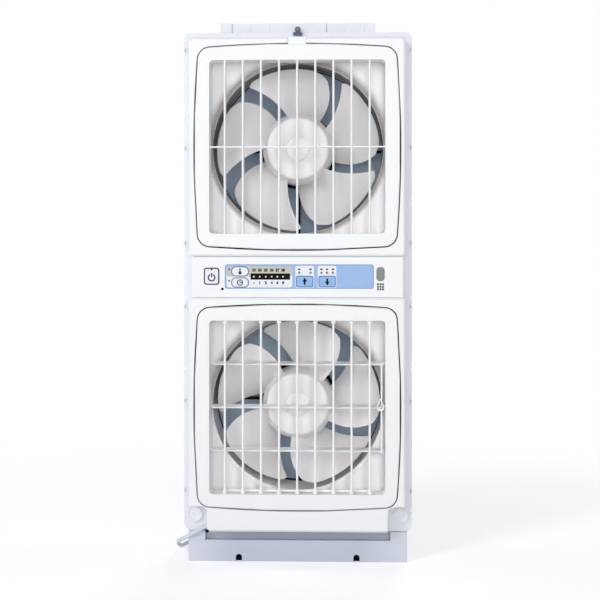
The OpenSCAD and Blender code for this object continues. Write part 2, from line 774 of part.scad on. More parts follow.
// Fan: a cup-shaped hub with a boss inside and curved, twisted blades.
// u runs across a blade from its rounded edge to its pointed edge, s from hub to tip.
function blade_angle(u, s) = let(q = 17.4 * s * s, p = 53.2 + 22.5 * s) q + (p - q) * u;
function blade_reach(u) = tip_r - 6 * pow(max(0, 1 - u / 0.14), 2)
    - 4 * pow(max(0, (u - 0.88) / 0.12), 2);
function hub_side(d) = hub_r + hub_flare * (d - hub_d - 4) / (hub_len - 7);
function blade_depth(u, s, lean) = hub_d + hub_len / 2 + 1
    + lean * (blade_rise * (1 - 0.34 * s) * (0.5 - u) + 3 * (1 - s / 2) * sin(180 * u));
function blade_point(u, s, lean, off, z, phase) = let(
    r0 = hub_side(blade_depth(u, 0, lean)) - hub_wall / 2,
    r = r0 + (blade_reach(u) - r0) * s,
    a = phase + blade_angle(u, (r - r0) / (tip_r - r0))
) [r * cos(a), blade_depth(u, s, lean) + off - depth / 2, z + r * sin(a)];

blade_nu = 9;
blade_ns = 6;
module blade(z, lean, phase) {
    n = blade_nu + 1;
    m = (blade_ns + 1) * n;
    u = [for (i = [0:blade_nu]) (1 - cos(180 * i / blade_nu)) / 2];
    points = [for (off = [-blade_t / 2, blade_t / 2], j = [0:blade_ns], i = [0:blade_nu])
        blade_point(u[i], j / blade_ns, lean, off, z, phase)];
    front = [for (j = [0:blade_ns - 1], i = [0:blade_nu - 1])
        each split_face(j * n + i, j * n + i + 1, j * n + n + i + 1, j * n + n + i)];
    back = [for (f = front) [f[2] + m, f[1] + m, f[0] + m]];
    rim = concat([for (i = [0:blade_nu - 1]) each split_face(i + 1, i, i + m, i + 1 + m)],
        [for (i = [0:blade_nu - 1]) each split_face(blade_ns * n + i, blade_ns * n + i + 1,
            blade_ns * n + i + 1 + m, blade_ns * n + i + m)],
        [for (j = [0:blade_ns - 1]) each split_face(j * n, (j + 1) * n, (j + 1) * n + m,
            j * n + m)],
        [for (j = [0:blade_ns - 1]) each split_face((j + 1) * n + n - 1, j * n + n - 1,
            j * n + n - 1 + m, (j + 1) * n + n - 1 + m)]);
    polyhedron(points, concat(front, back, rim));
}
function split_face(a, b, c, d) = [[a, b, c], [a, c, d]];

module fan(z, lean, phase) color("#d9d7d8") {
    h0 = hub_d;
    h1 = hub_d + hub_len;
    difference() {
        union() {
            turned(0, z, concat([[0, h0 + 0.6], [16, h0 + 0.6], [17, h0]],
                [for (a = [0:15:90]) [hub_r - 4 + 4 * sin(a), h0 + 4 - 4 * cos(a)]],
                [[hub_side(h1 - 3), h1 - 3], [hub_side(h1 - 3), h1], [0, h1]]));
            for (k = [0:blade_count - 1]) blade(z, lean, phase + 360 * k / blade_count);
        }
        turned(0, z, [[shaft_r + 5, h0 + 4], [hub_r - 6, h0 + 4], [hub_r - hub_wall, h0 + 9],
            [hub_side(h1 - 3) - hub_wall, h1 + 1], [shaft_r + 5, h1 + 1]]);
        rod_y(0, z, shaft_r + 5.5, shaft_d0 + 22, h1 + 1);
        rod_y(0, z, shaft_r, h0 - 1, h1 + 1);
        rod_y(0, z, cap_r, h0 - 1, h0 + 1.6);
    }
}

cap_r = 14.7;
upper_phase = 54;
lower_phase = 43;
module upper_fan() fan(upper_fan_z, 1, upper_phase);
module lower_fan() fan(lower_fan_z, -1, lower_phase);

// Cap that screws on the shaft's end and holds the fan
module hub_cap(z) color("#dcdadc") difference() {
    turned(0, z, [[0, hub_d - 0.4], [cap_r - 4, hub_d - 0.4], [cap_r - 0.2, hub_d + 0.2],
        [cap_r - 0.2, hub_d + 1.6], [0, hub_d + 1.6]]);
    rod_y(0, z, shaft_r, hub_d + 0.6, hub_d + 2);
}

module upper_hub_cap() hub_cap(upper_fan_z);
module lower_hub_cap() hub_cap(lower_fan_z);

module shaft(z) color("#b9bcc0") rod_y(0, z, shaft_r, hub_d + 0.6, motor_d + motor_len - 3);
module upper_shaft() shaft(upper_fan_z);
module lower_shaft() shaft(lower_fan_z);

// Motor case: two deep-drawn halves joined at a rim, with seats for the bushes
bush_r = 7;
bush_len = 7;
module motor(z) color("#3c3f45") difference() {
    d0 = motor_d;
    d1 = motor_d + motor_len;
    union() {
        turned(0, z, [[0, d0], [bush_r + 3, d0], [bush_r + 4, d0 + 2], [motor_r - 5, d0 + 3],
            [motor_r, d0 + 7], [motor_r, d1 - 5], [motor_r - 4, d1 - 1], [bush_r + 4, d1 - 1],
            [bush_r + 3, d1], [0, d1]]);
    }
    turned(0, z, [[0, d0 + 8], [bush_r + 1, d0 + 8], [motor_r - 6, d0 + 5],
        [motor_r - 2, d0 + 8], [motor_r - 2, d1 - 6], [motor_r - 5, d1 - 3],
        [bush_r + 1, d1 - 8], [0, d1 - 8]]);
    rod_y(0, z, bush_r, d0 + 1, d0 + 9);
    rod_y(0, z, shaft_r + 1, d0 - 1, d0 + 2);
    rod_y(0, z, bush_r, d1 - 9, d1 - 1);
    for (a = [0:60:300]) rod_y(26 * cos(a), z + 26 * sin(a), 2.5, d1 - 6, d1 + 1);
}

module upper_motor() motor(upper_fan_z);
module lower_motor() motor(lower_fan_z);

// Plain bushes at both ends of both motors
module motor_bushes() color("#b08d57") for (z = fans, d = [motor_d + 1, motor_d + motor_len - 8])
    difference() {
        rod_y(0, z, bush_r, d, d + bush_len);
        rod_y(0, z, shaft_r + run_gap, d - 1, d + bush_len + 1);
    }

// Laminated stators pressed in the motor cases
stator_d0 = motor_d + 11;
stator_d1 = motor_d + motor_len - 11;
module stators() color("#6b6f75") for (z = fans) difference() {
    rod_y(0, z, motor_r - 2, stator_d0, stator_d1);
    rod_y(0, z, 18.4, stator_d0 - 1, stator_d1 + 1);
    for (a = [0:30:330]) rod_y(21.5 * cos(a), z + 21.5 * sin(a), 1.8, stator_d0 - 1,
        stator_d1 + 1);
}

module rotor(z) color("#8b8f94") difference() {
    rod_y(0, z, 18, stator_d0, stator_d1);
    rod_y(0, z, shaft_r, stator_d0 - 1, stator_d1 + 1);
}
module upper_rotor() rotor(upper_fan_z);
module lower_rotor() rotor(lower_fan_z);

// Motor carrier: a ring round the motor, four thin arms on edge and an outer hoop
hoop_r = duct_r + 0.3;
module carrier(z) color("#17181b") difference() {
    c0 = carrier_d + 0.4;
    c1 = carrier_d + carrier_t;
    union() {
        turned(0, z, [[motor_r + 0.3, c0], [ring_r, c0], [ring_r, c0 + 2], [motor_r + 2.3, c0 + 2],
            [motor_r + 2.3, c1], [motor_r + 0.3, c1]]);
        for (a = [0:90:270]) translate([0, 0, z]) rotate([0, a, 0])
            block(motor_r + 1, hoop_r + 1, c0, c1, -arm_t / 2, arm_t / 2);
        turned(0, z, [[hoop_r, c0], [hoop_r + duct_wall, c0], [hoop_r + duct_wall, lug_d + 2],
            [hoop_r, lug_d + 2]]);
        for (a = [45:90:315]) translate([0, 0, z]) rotate([0, a, 0])
            block(hoop_r + 0.5, hoop_r + 13, lug_d, lug_d + 2, -6, 6);
    }
    for (a = [45:90:315]) rod_y((hoop_r + 8) * cos(a), z + (hoop_r + 8) * sin(a), 2.1,
        lug_d - 1, lug_d + 3);
}

lug_d = back_wall_d + back_wall_t;
module upper_carrier() carrier(upper_fan_z);
module lower_carrier() carrier(lower_fan_z);

// Screws through the carriers' lugs, heads to the rear
module carrier_screws() color("#a9adb3") for (z = fans, a = [45:90:315]) {
    x = (hoop_r + 8) * cos(a);
    zs = z + (hoop_r + 8) * sin(a);
    rod_y(x, zs, 3.4, lug_d + 2, lug_d + 2.8);
    rod_y(x, zs, 2, back_wall_d - 5, lug_d + 2.1);
}

// Shutter door: half of the rear opening, cut round the motor, with a knuckle that
// turns on its rod and ribs on its rear face
module door(z, s) color("#6f849c") difference() {
    h = door_h / 2;
    union() {
        slab(door_d, door_d + door_t) difference() {
            rect(min(s * door_gap, s * rod_x), max(s * door_gap, s * rod_x), z - h, z + h);
            translate([0, z]) circle(ring_r - 4, $fn = 72);
        }
        for (k = [-2, 2]) slab(door_d + door_t - 0.1, door_d + door_t + 2) translate([0, z])
            rect(min(s * rib_x, s * (rod_x - 4)), max(s * rib_x, s * (rod_x - 4)), k * h / 3 - 1,
                k * h / 3 + 1);
        rod_z(s * rod_x, rod_d, knuckle_r, z - h, z + h);
    }
    rod_z(s * rod_x, rod_d, rod_r + run_gap, z - h - 1, z + h + 1);
}

module upper_left_door() door(upper_fan_z, -1);
module upper_right_door() door(upper_fan_z, 1);
module lower_left_door() door(lower_fan_z, -1);
module lower_right_door() door(lower_fan_z, 1);

// Hinge rods of the four doors
module door_rods() color("#b9bcc0") for (z = fans, s = sides)
    rod_z(s * rod_x, rod_d, rod_r, z - door_h / 2 - 5.4, z + door_h / 2 + 5.4);

// Top bracket: a stepped plate with two legs, which slides up to the window's top rail
module top_bracket() color("#e9ecf4") difference() {
    w = top_w / 2;
    z1 = flange_z1 + top_rise;
    leg = case_z1 - 60;
    union() {
        translate([0, top_d - depth / 2, leg])
            linear_extrude(z1 - leg) stepped_plate(w);
        for (x = [[-w, -step_x[1]], [-step_x[0], step_x[0]], [step_x[1], w]])
            block(x[0], x[1], top_d, top_d + 4, z1 - 2, z1);
        block(-w, w, top_d + step_s, top_d + 4, z1 - 2, z1);
    }
    block(-w + 12, w - 12, top_d - 1, top_d + 6, leg - 1, upper_fan_z + mouth_r + duct_wall + 3);
    rod_y(0, screw_z, 2 + run_gap, top_d - 1, top_d + 6);
}

screw_z = flange_z1 + 3.3;
step_x = [34.4, 81.7];
step_s = 2.2;
module stepped_plate(w) {
    t = top_t;
    s = step_s;
    m = (step_x[0] + step_x[1]) / 2;
    half = [[0, 0], [step_x[0], 0], [step_x[0] + t, s], [m - 0.6, s], [m, s + 0.6],
        [m + 0.6, s], [step_x[1] - t, s], [step_x[1], 0], [w, 0]];
    outline = concat([for (i = [len(half) - 1:-1:0]) [-half[i][0], half[i][1]]],
        [for (i = [1:len(half) - 1]) half[i]]);
    polygon(concat(outline, [for (i = [len(outline) - 1:-1:0])
        [outline[i][0], outline[i][1] + t]]));
}

// Wing screw on the top bracket: a round head over two lobes, and its threaded end
module clamp_screw() color("#2b3a63") {
    rod_y(0, screw_z, 3.1, flange_d - 5, flange_d - 0.8);
    rod_y(0, screw_z, 2.2, flange_d - 0.9, top_d - 0.3);
    slab(flange_d - 4.5, flange_d - 0.8) {
        translate([0, screw_z - 1.5]) square([5, 5], center = true);
        for (s = sides) translate([s * 3.6, screw_z - 5.4]) circle(2.1);
        translate([0, screw_z - 5.4]) square([7.2, 3.6], center = true);
    }
    rod_y(0, screw_z, 2, top_d - 0.4, top_d + 3.6);
}

// Lower bracket: front plate with two screw slots, a lip, a recess and a rear wall
module lower_bracket() color("#c6cdda") difference() {
    t = sill_t;
    r0 = sill_d + 15;
    r1 = sill_d + sill_deep;
    top = case_z0;
    union() {
        translate([-sill_w / 2, -depth / 2, 0]) rotate([90, 0, 90]) linear_extrude(sill_w)
            polygon([[sill_d, 0], [sill_d + t, 0], [sill_d + t, sill_h], [r1 - t, sill_h],
                [r1 - t, 0], [r1, 0], [r1, top], [r1 - t, top], [r1 - t, sill_h + t],
                [r0 + t, sill_h + t], [r0 + t, top], [r0, top], [r0, sill_h + t],
                [sill_d + t + 1, sill_h + t], [sill_d + t + 1, sill_h + 4],
                [sill_d + 0.7, sill_h + 4], [sill_d, sill_h + 3.3]]);
        for (s = sides) block(s * (sill_w / 2 - t / 2) - t / 2, s * (sill_w / 2 - t / 2) + t / 2,
            sill_d + t - 0.1, r1 - t + 0.1, 0, sill_h + 0.1);
    }
    for (s = sides) {
        x0 = s * (end_x - 0.3);
        block(min(x0, s * 160), max(x0, s * 160), sill_d - 1, r0 - 0.2, sill_h + t, top + 1);
        slab(sill_d - 1, sill_d + t + 1) {
            rect(s * slot_x - slot_w / 2, s * slot_x + slot_w / 2, -1, slot_h - slot_w / 2);
            translate([s * slot_x, slot_h - slot_w / 2]) circle(slot_w / 2);
        }
    }
}

// Blocks that close the recess at both ends of the lower bracket
end_x = sill_w / 2 - 20.5;
module bracket_ends() color("#dfe4ee") for (s = sides)
    block(min(s * end_x, s * sill_w / 2), max(s * end_x, s * sill_w / 2), sill_d,
        sill_d + 14.6, sill_h + sill_t, housing_z - 0.4);

// Corner fixing knob: a dished disc on a shank that passes through the flange
module knob(s) color("#e6eaf3") difference() {
    union() {
        rod_y(s * knob_x, knob_zc, knob_r, flange_d - 3.6, flange_d - 0.3);
        rod_y(s * knob_x, knob_zc, shank_r, flange_d - 0.4, flange_d + 16);
    }
    turned(s * knob_x, knob_zc, [[0, flange_d - 4], [knob_r - 1.2, flange_d - 4],
        [knob_r - 1.2, flange_d - 3.6], [knob_r - 2.4, flange_d - 2.8], [0, flange_d - 2.6]]);
    slab(flange_d - 4, flange_d - 1.8) translate([s * knob_x, knob_zc])
        square([7, 1.4], center = true);
}

module left_knob() knob(-1);
module right_knob() knob(1);

// Strain relief in the lower panel's corner: a block on the flange and a ribbed taper
// that leads the cord out through the corner hole
relief_x = -80;
relief_d = 15;
relief_z = 48;
relief_slope = 8;
module strain_relief() color("#d5dae4") union() {
    block(relief_x - 5, relief_x + 5, relief_d - 5, flange_d, relief_z - 5, relief_z + 5);
    translate([relief_x - 4, relief_d - depth / 2, relief_z]) rotate([0, -90 - relief_slope, 0]) {
        cylinder(r1 = 4.2, r2 = 2.9, h = 20.2);
        for (h = [4:3.2:16.8]) translate([0, 0, h]) cylinder(r = 4.4 - h * 0.06, h = 1.4);
    }
}

// Flat twin cord: out of the corner hole, round the left end of the bracket and
// along the sill to the coil behind the fan. Each point is [X, depth, Z].
cord_route = [[-104, 15, 45.2], [-112, 15.1, 43.2], [-120, 15.5, 39.4], [-128, 16.3, 34.6],
    [-136.5, 19.2, 29.3], [-143.8, 25.6, 24.6], [-148.3, 35.5, 20.2], [-149.5, 47, 16],
    [-149.5, 58, 12], [-149.5, 69, 8], [-149.5, 80, 4.8], [-148, 93, 2.8], [-143.5, 106, 2.6],
    [-134.5, 118, 2.6], [-118, 126.8, 2.6], [-98, 132, 2.6], [-80, 135.3, 2.6], [-60, 136.6, 2.6],
    [-40, 136.6, 2.6], [-20, 136.4, 2.6]];
tail_route = [[0, 136.6, 19], [20, 137, 16], [39, 138, 11], [56, 139, 7.2], [72, 140, 5.8],
    [84, 140.5, 5.8]];

// A point on a smooth curve through a route
function clamp_i(n, i) = min(max(i, 0), n - 1);
function smooth_point(p, i, f) = let(
    a = p[clamp_i(len(p), i - 1)],
    b = p[i],
    c = p[clamp_i(len(p), i + 1)],
    e = p[clamp_i(len(p), i + 2)]
) 0.5 * (2 * b + (c - a) * f + (2 * a - 5 * b + 4 * c - e) * f * f
    + (3 * b - a - 3 * c + e) * f * f * f);
function smooth_route(p, n) = concat(
    [for (i = [0:len(p) - 2], k = [0:n - 1]) smooth_point(p, i, k / n)], [p[len(p) - 1]]);

// Coil: the cord spirals in and out in four layers of two turns
layer_h = cord_d + 0.5;
turn_step = cord_d + 0.7;
coil_layers = 4;
coil_x = -20;
layer_turns = coil_turns / coil_layers;
coil_outer = coil_r + turn_step * layer_turns / 2;
coil_d = 136.4 + coil_outer;
loop_rings = 24;
function fold(t) = let(m = t / layer_turns, k = floor(m), f = m - k)
    layer_turns * ((k % 2 == 0) ? f : 1 - f);
function ease(x) = let(c = min(max(x, 0), 1)) c * c * (3 - 2 * c);
function climb(t) = let(c = [for (k = [1:coil_layers - 1]) ease((t - layer_turns * k) * 2 + 0.5)])
    c[0] + c[1] + c[2];
function coil_point(t) = let(r = coil_outer - turn_step * fold(t)) [
    coil_x + r * sin(360 * t), coil_d - r * cos(360 * t), 2.6 + layer_h * climb(t)];
coil_path = concat([for (i = [0:coil_turns * loop_rings]) coil_point(i / loop_rings)],
    smooth_route(tail_route, 2));

// A tube of n sides and radius r along a path
function unit(v) = v / norm(v);
function heading(p, i) = unit(p[min(i + 1, len(p) - 1)] - p[max(i - 1, 0)]);
module tube(p, r, n) {
    m = len(p);
    points = [for (i = [0:m - 1]) let(
        t = heading(p, i),
        side = unit(cross(t, [0, 0, 1])),
        up = cross(side, t)
    ) for (k = [0:n - 1]) p[i] + r * (cos(360 * k / n) * side + sin(360 * k / n) * up)];
    walls = [for (i = [0:m - 2], k = [0:n - 1]) let(q = (k + 1) % n)
        each split_face(i * n + k, i * n + q, i * n + n + q, i * n + n + k)];
    ends = [for (k = [1:n - 2]) each [[0, k + 1, k], [(m - 1) * n, (m - 1) * n + k,
        (m - 1) * n + k + 1]]];
    translate([0, -depth / 2, 0]) polyhedron(points, concat(walls, ends));
}

module power_cord() color("#d5dbe8") tube(smooth_route(cord_route, 2), cord_d / 2, 10);
module cord_coil() color("#d5dbe8") tube(coil_path, cord_d / 2, 6);

// Least gap between the coil's turns, from centre line to centre line
function least_gap(p, step) = min([for (i = [0:len(p) - 1]) for (k = [i + step:len(p) - 1])
    norm(p[i] - p[k])]) - cord_d;
echo(coil_least_gap = least_gap(coil_path, loop_rings / 2));
function path_length(p) = len(p) < 2 ? 0 : sum_steps(p, 0);
function sum_steps(p, i) = (i >= len(p) - 1) ? 0 : norm(p[i + 1] - p[i]) + sum_steps(p, i + 1);
echo(cord_length = path_length(smooth_route(cord_route, 2)) + path_length(coil_path));

// Two-blade plug at the cord's end
module plug() color("#d5dbe8") {
    p = tail_route[len(tail_route) - 1];
    translate([p[0], p[1] - depth / 2, p[2]]) {
        rotate([0, 90, 0]) cylinder(r1 = 3, r2 = 4.4, h = 10);
        translate([9, -8.5, -5.5]) cube([17, 17, 11]);
        for (s = sides) translate([25, s * 6.35 - 0.75, -3.15]) difference() {
            cube([18, 1.5, 6.3]);
            translate([14, -1, 3.15]) rotate([-90, 0, 0]) cylinder(r = 1.4, h = 4);
        }
    }
}

housing();
fan_ducts();
upper_panel();
lower_panel();
control_strip();
upper_grille();
lower_grille();
vane_1();
vane_2();
vane_3();
vane_4();
vane_5();
vane_6();
vane_7();
vane_8();
vane_9();
vane_link();
slat_1();
slat_2();
slat_3();
slat_link();
upper_fan();
upper_hub_cap();
upper_shaft();
lower_fan();
lower_hub_cap();
lower_shaft();
upper_motor();
lower_motor();
motor_bushes();
stators();
upper_rotor();
lower_rotor();
upper_carrier();
lower_carrier();
carrier_screws();
upper_left_door();
upper_right_door();
lower_left_door();
lower_right_door();
door_rods();
power_button();
auto_button();
timer_button();
exhaust_button();
intake_button();
label_plate();
lamp_window();
receiver_window();
circuit_board();
top_bracket();
clamp_screw();
lower_bracket();
bracket_ends();
left_knob();
right_knob();
strain_relief();
power_cord();
cord_coil();
plug();
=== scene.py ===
"""Looks of a twin window fan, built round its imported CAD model."""

import json
import math

import bmesh
import bpy
from mathutils import Matrix, Vector


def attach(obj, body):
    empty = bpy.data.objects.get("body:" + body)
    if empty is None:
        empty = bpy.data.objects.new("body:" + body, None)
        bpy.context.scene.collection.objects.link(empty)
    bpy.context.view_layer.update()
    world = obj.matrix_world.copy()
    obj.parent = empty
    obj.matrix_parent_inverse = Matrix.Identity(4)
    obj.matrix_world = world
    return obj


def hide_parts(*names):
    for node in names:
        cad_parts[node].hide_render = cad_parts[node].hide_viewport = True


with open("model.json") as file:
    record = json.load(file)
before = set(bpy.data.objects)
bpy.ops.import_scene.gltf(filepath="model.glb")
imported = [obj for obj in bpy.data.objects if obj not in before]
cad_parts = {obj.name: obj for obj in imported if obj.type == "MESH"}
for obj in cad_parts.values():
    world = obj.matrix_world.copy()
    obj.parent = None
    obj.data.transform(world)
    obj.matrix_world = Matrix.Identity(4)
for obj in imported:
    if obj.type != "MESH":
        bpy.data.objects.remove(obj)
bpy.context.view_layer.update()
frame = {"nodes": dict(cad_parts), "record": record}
scene = bpy.context.scene
scene.view_settings.view_transform = "Standard"

# Pieces are laid out in millimetres, with depths counted back from the front face.
MM = 0.001
DEPTH = 124.0
UPPER_FAN_Z = 503.7
LOWER_FAN_Z = 190.2
STRIP_Z = 347.65
MERGE_GAP = 1e-6


def spot(x, d, z):
    """A point in metres from millimetres: across, back from the front face, up."""
    return Vector((x * MM, (d - DEPTH / 2) * MM, z * MM))


# ---------------------------------------------------------------- nodes


def node_in(tree, kind, at, *feeds, **values):
    """A shader node. Feeds fill its first sockets in order, values whose names start with
    in_ fill the sockets of that name, and the rest are its properties."""
    node = tree.nodes.new(kind)
    node.location = at
    named = {}
    for key, value in values.items():
        if key.startswith("in_"):
            named[key[3:].replace("_", " ")] = value
        else:
            setattr(node, key, value)
    filled = list(zip(node.inputs, feeds))
    filled += [(node.inputs[name], value) for name, value in named.items()]
    for socket, value in filled:
        if isinstance(value, bpy.types.NodeSocket):
            tree.links.new(value, socket)
        else:
            socket.default_value = value
    return node


def maths(tree, at, operation, *feeds, clamp=False):
    """The result of one sum on sockets and numbers."""
    return node_in(tree, "ShaderNodeMath", at, *feeds, operation=operation, use_clamp=clamp).outputs[0]


def share(tree, at, value, low, high, kind="SMOOTHSTEP", to=(0, 1)):
    """How far a value is on its way from low to high."""
    node = node_in(tree, "ShaderNodeMapRange", at, value, low, high, *to, interpolation_type=kind)
    return node.outputs["Result"]


def blend(tree, at, amount, first, second):
    """A colour between two others, each three numbers or a socket."""
    first, second = ((*color, 1) if isinstance(color, tuple) else color for color in (first, second))
    node = node_in(tree, "ShaderNodeMix", at, data_type="RGBA", in_Factor=amount, in_A=first,
        in_B=second)
    return node.outputs["Result"]


def scaled(tree, at, vector, scale):
    """A colour or place times a number."""
    node = node_in(tree, "ShaderNodeVectorMath", at, operation="SCALE", in_Vector=vector, in_Scale=scale)
    return node.outputs[0]


def noise(tree, at, place, scale, detail, rough):
    node = node_in(tree, "ShaderNodeTexNoise", at, in_Vector=place, in_Scale=scale, in_Detail=detail,
        in_Roughness=rough)
    return node.outputs["Fac"]


def object_place(tree, at):
    return node_in(tree, "ShaderNodeTexCoord", at).outputs["Object"]


def parts_of(tree, at, vector):
    """The X, Y and Z of a vector, as sockets by name."""
    return node_in(tree, "ShaderNodeSeparateXYZ", at, vector).outputs


# ---------------------------------------------------------------- camera, light and floor

FRAME_PX = 600
FOCAL_PX = 1250
HORIZON_PX = 240
SIDE_PX = 36
SENSOR_W = 36
NEAREST = 0.05
CAMERA_AT = Vector((0.0467, -1.562, 0.3916))

WHITE = (1, 1, 1, 1)
ROOM_TINT = (0.96, 0.98, 1, 1)
ROOM_LIGHT = 0.33
FLOOR_R = 60
FLOOR_TONE = (0.9, 0.9, 0.9, 1)
FLOOR_LIFT = 0.37
FLOOR_BOUNCE = (0.8, 0.8, 0.8, 1)
FLOOR_FADE = (0.35, 1.0)

MIDDLE = (0, 0, 0.33)
SIDE_AIM = (0, 0.05, 0.33)
# Each lamp's name, place, aim, size and power.
LAMPS = (
    ("key_light", (-2.5, -3.0, 1.9), MIDDLE, 1.3, 53),
    ("rear_light", (0.9, 3.4, 1.9), MIDDLE, 1.8, 36),
    ("right_fill", (1.9, -3.4, 0.6), MIDDLE, 1.8, 6),
    ("front_fill", (0.1, -3.9, 0.5), MIDDLE, 3.2, 65),
    ("side_light", (-3.0, 0.6, 1.3), SIDE_AIM, 1.2, 10),
    ("side_light", (3.0, 0.6, 1.3), SIDE_AIM, 1.2, 10),
)


def make_camera():
    """The camera of the photograph, from its focal length, level line and turn in pixels."""
    lens = bpy.data.cameras.new("viewer")
    lens.sensor_width = SENSOR_W
    lens.lens = SENSOR_W * FOCAL_PX / FRAME_PX
    lens.shift_y = (HORIZON_PX - FRAME_PX / 2) / FRAME_PX
    lens.clip_start = NEAREST
    viewer = bpy.data.objects.new("viewer", lens)
    viewer.location = CAMERA_AT
    viewer.rotation_euler = (math.pi / 2, 0, math.atan2(SIDE_PX, FOCAL_PX))
    scene.collection.objects.link(viewer)
    scene.camera = viewer


def add_lamp(name, at, aim, size, power):
    lamp = bpy.data.lights.new(name, "AREA")
    lamp.shape = "DISK"
    lamp.size = size
    lamp.energy = power
    holder = bpy.data.objects.new(name, lamp)
    holder.location = at
    holder.rotation_euler = (Vector(aim) - Vector(at)).to_track_quat("-Z", "Y").to_euler()
    scene.collection.objects.link(holder)


def camera_or_mirror(tree):
    """1 for rays from the camera, off gloss or through glass, and 0 for the rest."""
    path = node_in(tree, "ShaderNodeLightPath", (-900, 300)).outputs
    first = maths(tree, (-700, 300), "MAXIMUM", path["Is Camera Ray"], path["Is Glossy Ray"])
    return maths(tree, (-500, 300), "MAXIMUM", first, path["Is Transmission Ray"])


def make_world():
    """A room that looks white and lights the fan more weakly."""
    world = bpy.data.worlds.new("studio")
    scene.world = world
    world.use_nodes = True
    tree = world.node_tree
    tree.nodes.clear()
    seen = node_in(tree, "ShaderNodeBackground", (-200, 200), in_Color=WHITE, in_Strength=1)
    lit = node_in(tree, "ShaderNodeBackground", (-200, 0), in_Color=ROOM_TINT, in_Strength=ROOM_LIGHT)
    mix = node_in(tree, "ShaderNodeMixShader", (0, 100), camera_or_mirror(tree), lit.outputs[0],
        seen.outputs[0])
    node_in(tree, "ShaderNodeOutputWorld", (200, 100), mix.outputs[0])


def make_floor():
    """A pale floor that keeps the fan's shadow and fades into the white room."""
    shape = bmesh.new()
    bmesh.ops.create_circle(shape, cap_ends=True, segments=96, radius=FLOOR_R)
    mesh = bpy.data.meshes.new("floor")
    shape.to_mesh(mesh)
    shape.free()
    floor = bpy.data.objects.new("floor", mesh)
    scene.collection.objects.link(floor)
    paint = bpy.data.materials.new("floor_paint")
    paint.use_nodes = True
    tree = paint.node_tree
    tree.nodes.clear()
    away = node_in(tree, "ShaderNodeVectorMath", (-700, 0), object_place(tree, (-900, 0)),
        operation="LENGTH")
    far = share(tree, (-500, 0), away.outputs["Value"], *FLOOR_FADE)
    matt = node_in(tree, "ShaderNodeBsdfDiffuse", (-500, 350), in_Color=FLOOR_TONE)
    lift = node_in(tree, "ShaderNodeEmission", (-500, 200), in_Color=WHITE, in_Strength=FLOOR_LIFT)
    near = node_in(tree, "ShaderNodeAddShader", (-300, 250), matt.outputs[0], lift.outputs[0])
    room = node_in(tree, "ShaderNodeEmission", (-300, 100), in_Color=WHITE, in_Strength=1)
    seen = node_in(tree, "ShaderNodeMixShader", (-100, 200), far, near.outputs[0], room.outputs[0])
    lit = node_in(tree, "ShaderNodeBsdfDiffuse", (-300, -150), in_Color=FLOOR_BOUNCE)
    mix = node_in(tree, "ShaderNodeMixShader", (100, 100), camera_or_mirror(tree), lit.outputs[0],
        seen.outputs[0])
    node_in(tree, "ShaderNodeOutputMaterial", (300, 100), mix.outputs[0])
    mesh.materials.append(paint)


make_camera()
make_world()
make_floor()
for lamp in LAMPS:
    add_lamp(*lamp)

# ---------------------------------------------------------------- making pieces


def finish_piece(name, shape, body, paint, instead=(), smooth_angle=None):
    """Turns a bmesh into a piece that rides on a body and takes a material."""
    mesh = bpy.data.meshes.new(name)
    shape.to_mesh(mesh)
    shape.free()
    piece = bpy.data.objects.new(name, mesh)
    scene.collection.objects.link(piece)
    mesh.materials.append(paint)
    if smooth_angle is not None:
        mesh.shade_smooth()
        mesh.set_sharp_from_angle(angle=math.radians(smooth_angle))
    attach(piece, body)
    if instead:
        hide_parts(*instead)
    return piece


def turned(shape, profile, at, steps=96):
    """Spins a profile of (radius, depth) points about the line from front to back through at."""
    rim = [shape.verts.new(spot(at[0] + r, d, at[1])) for r, d in profile]
    edges = [shape.edges.new(pair) for pair in zip(rim, rim[1:])]
    bmesh.ops.spin(shape, geom=rim + edges, cent=spot(at[0], 0, at[1]), axis=(0, 1, 0),
        dvec=(0, 0, 0), angle=math.tau, steps=steps, use_merge=True, use_duplicate=False)


def clean(shape):
    """Merges doubles and points all faces outwards."""
    bmesh.ops.remove_doubles(shape, verts=shape.verts, dist=MERGE_GAP)
    bmesh.ops.recalc_face_normals(shape, faces=shape.faces)


def fresh_verts(made):
    """The vertices among the results of an extrusion."""
    return [part for part in made["geom"] if isinstance(part, bmesh.types.BMVert)]


def pushed(shape, faces, back):
    """Extrudes faces by a distance back from the front, in millimetres."""
    made = bmesh.ops.extrude_face_region(shape, geom=faces)
    bmesh.ops.translate(shape, verts=fresh_verts(made), vec=(0, back * MM, 0))


# ---------------------------------------------------------------- cord

CORD_W, CORD_H = 5.0, 2.8
# Each wire of the twin cord is round through this arc, in degrees.
WIRE_FROM, WIRE_ARC, WIRE_STEPS = -40, 260, 7
# The cord's lowest middle line above the sill.
CORD_REST = 2.6
CORD_ROUTE = [
    (-104, 15, 45.2), (-112, 15.1, 43.2), (-120, 15.5, 39.4), (-128, 16.3, 34.6),
    (-136.5, 19.2, 29.3), (-143.8, 25.6, 24.6), (-148.3, 35.5, 20.2), (-149.5, 47, 16),
    (-149.5, 58, 12), (-149.5, 69, 8), (-149.5, 80, 4.8), (-148, 93, 2.8), (-143.5, 106, CORD_REST),
    (-134.5, 118, CORD_REST), (-118, 126.8, CORD_REST), (-98, 132, CORD_REST),
    (-80, 135.3, CORD_REST), (-60, 136.6, CORD_REST), (-40, 136.6, CORD_REST),
    (-20, 136.4, CORD_REST),
]
TAIL_ROUTE = [
    (0, 136.6, 19), (20, 137, 16), (39, 138, 11), (56, 139, 7.2), (72, 140, 5.8), (84, 140.5, 5.8),
]
ROUTE_STEPS = 4
COIL_TURNS, COIL_LAYERS, LOOP_STEPS = 8, 4, 24
LAYER_TURNS = COIL_TURNS // COIL_LAYERS
LAYER_H = CORD_W + 0.5
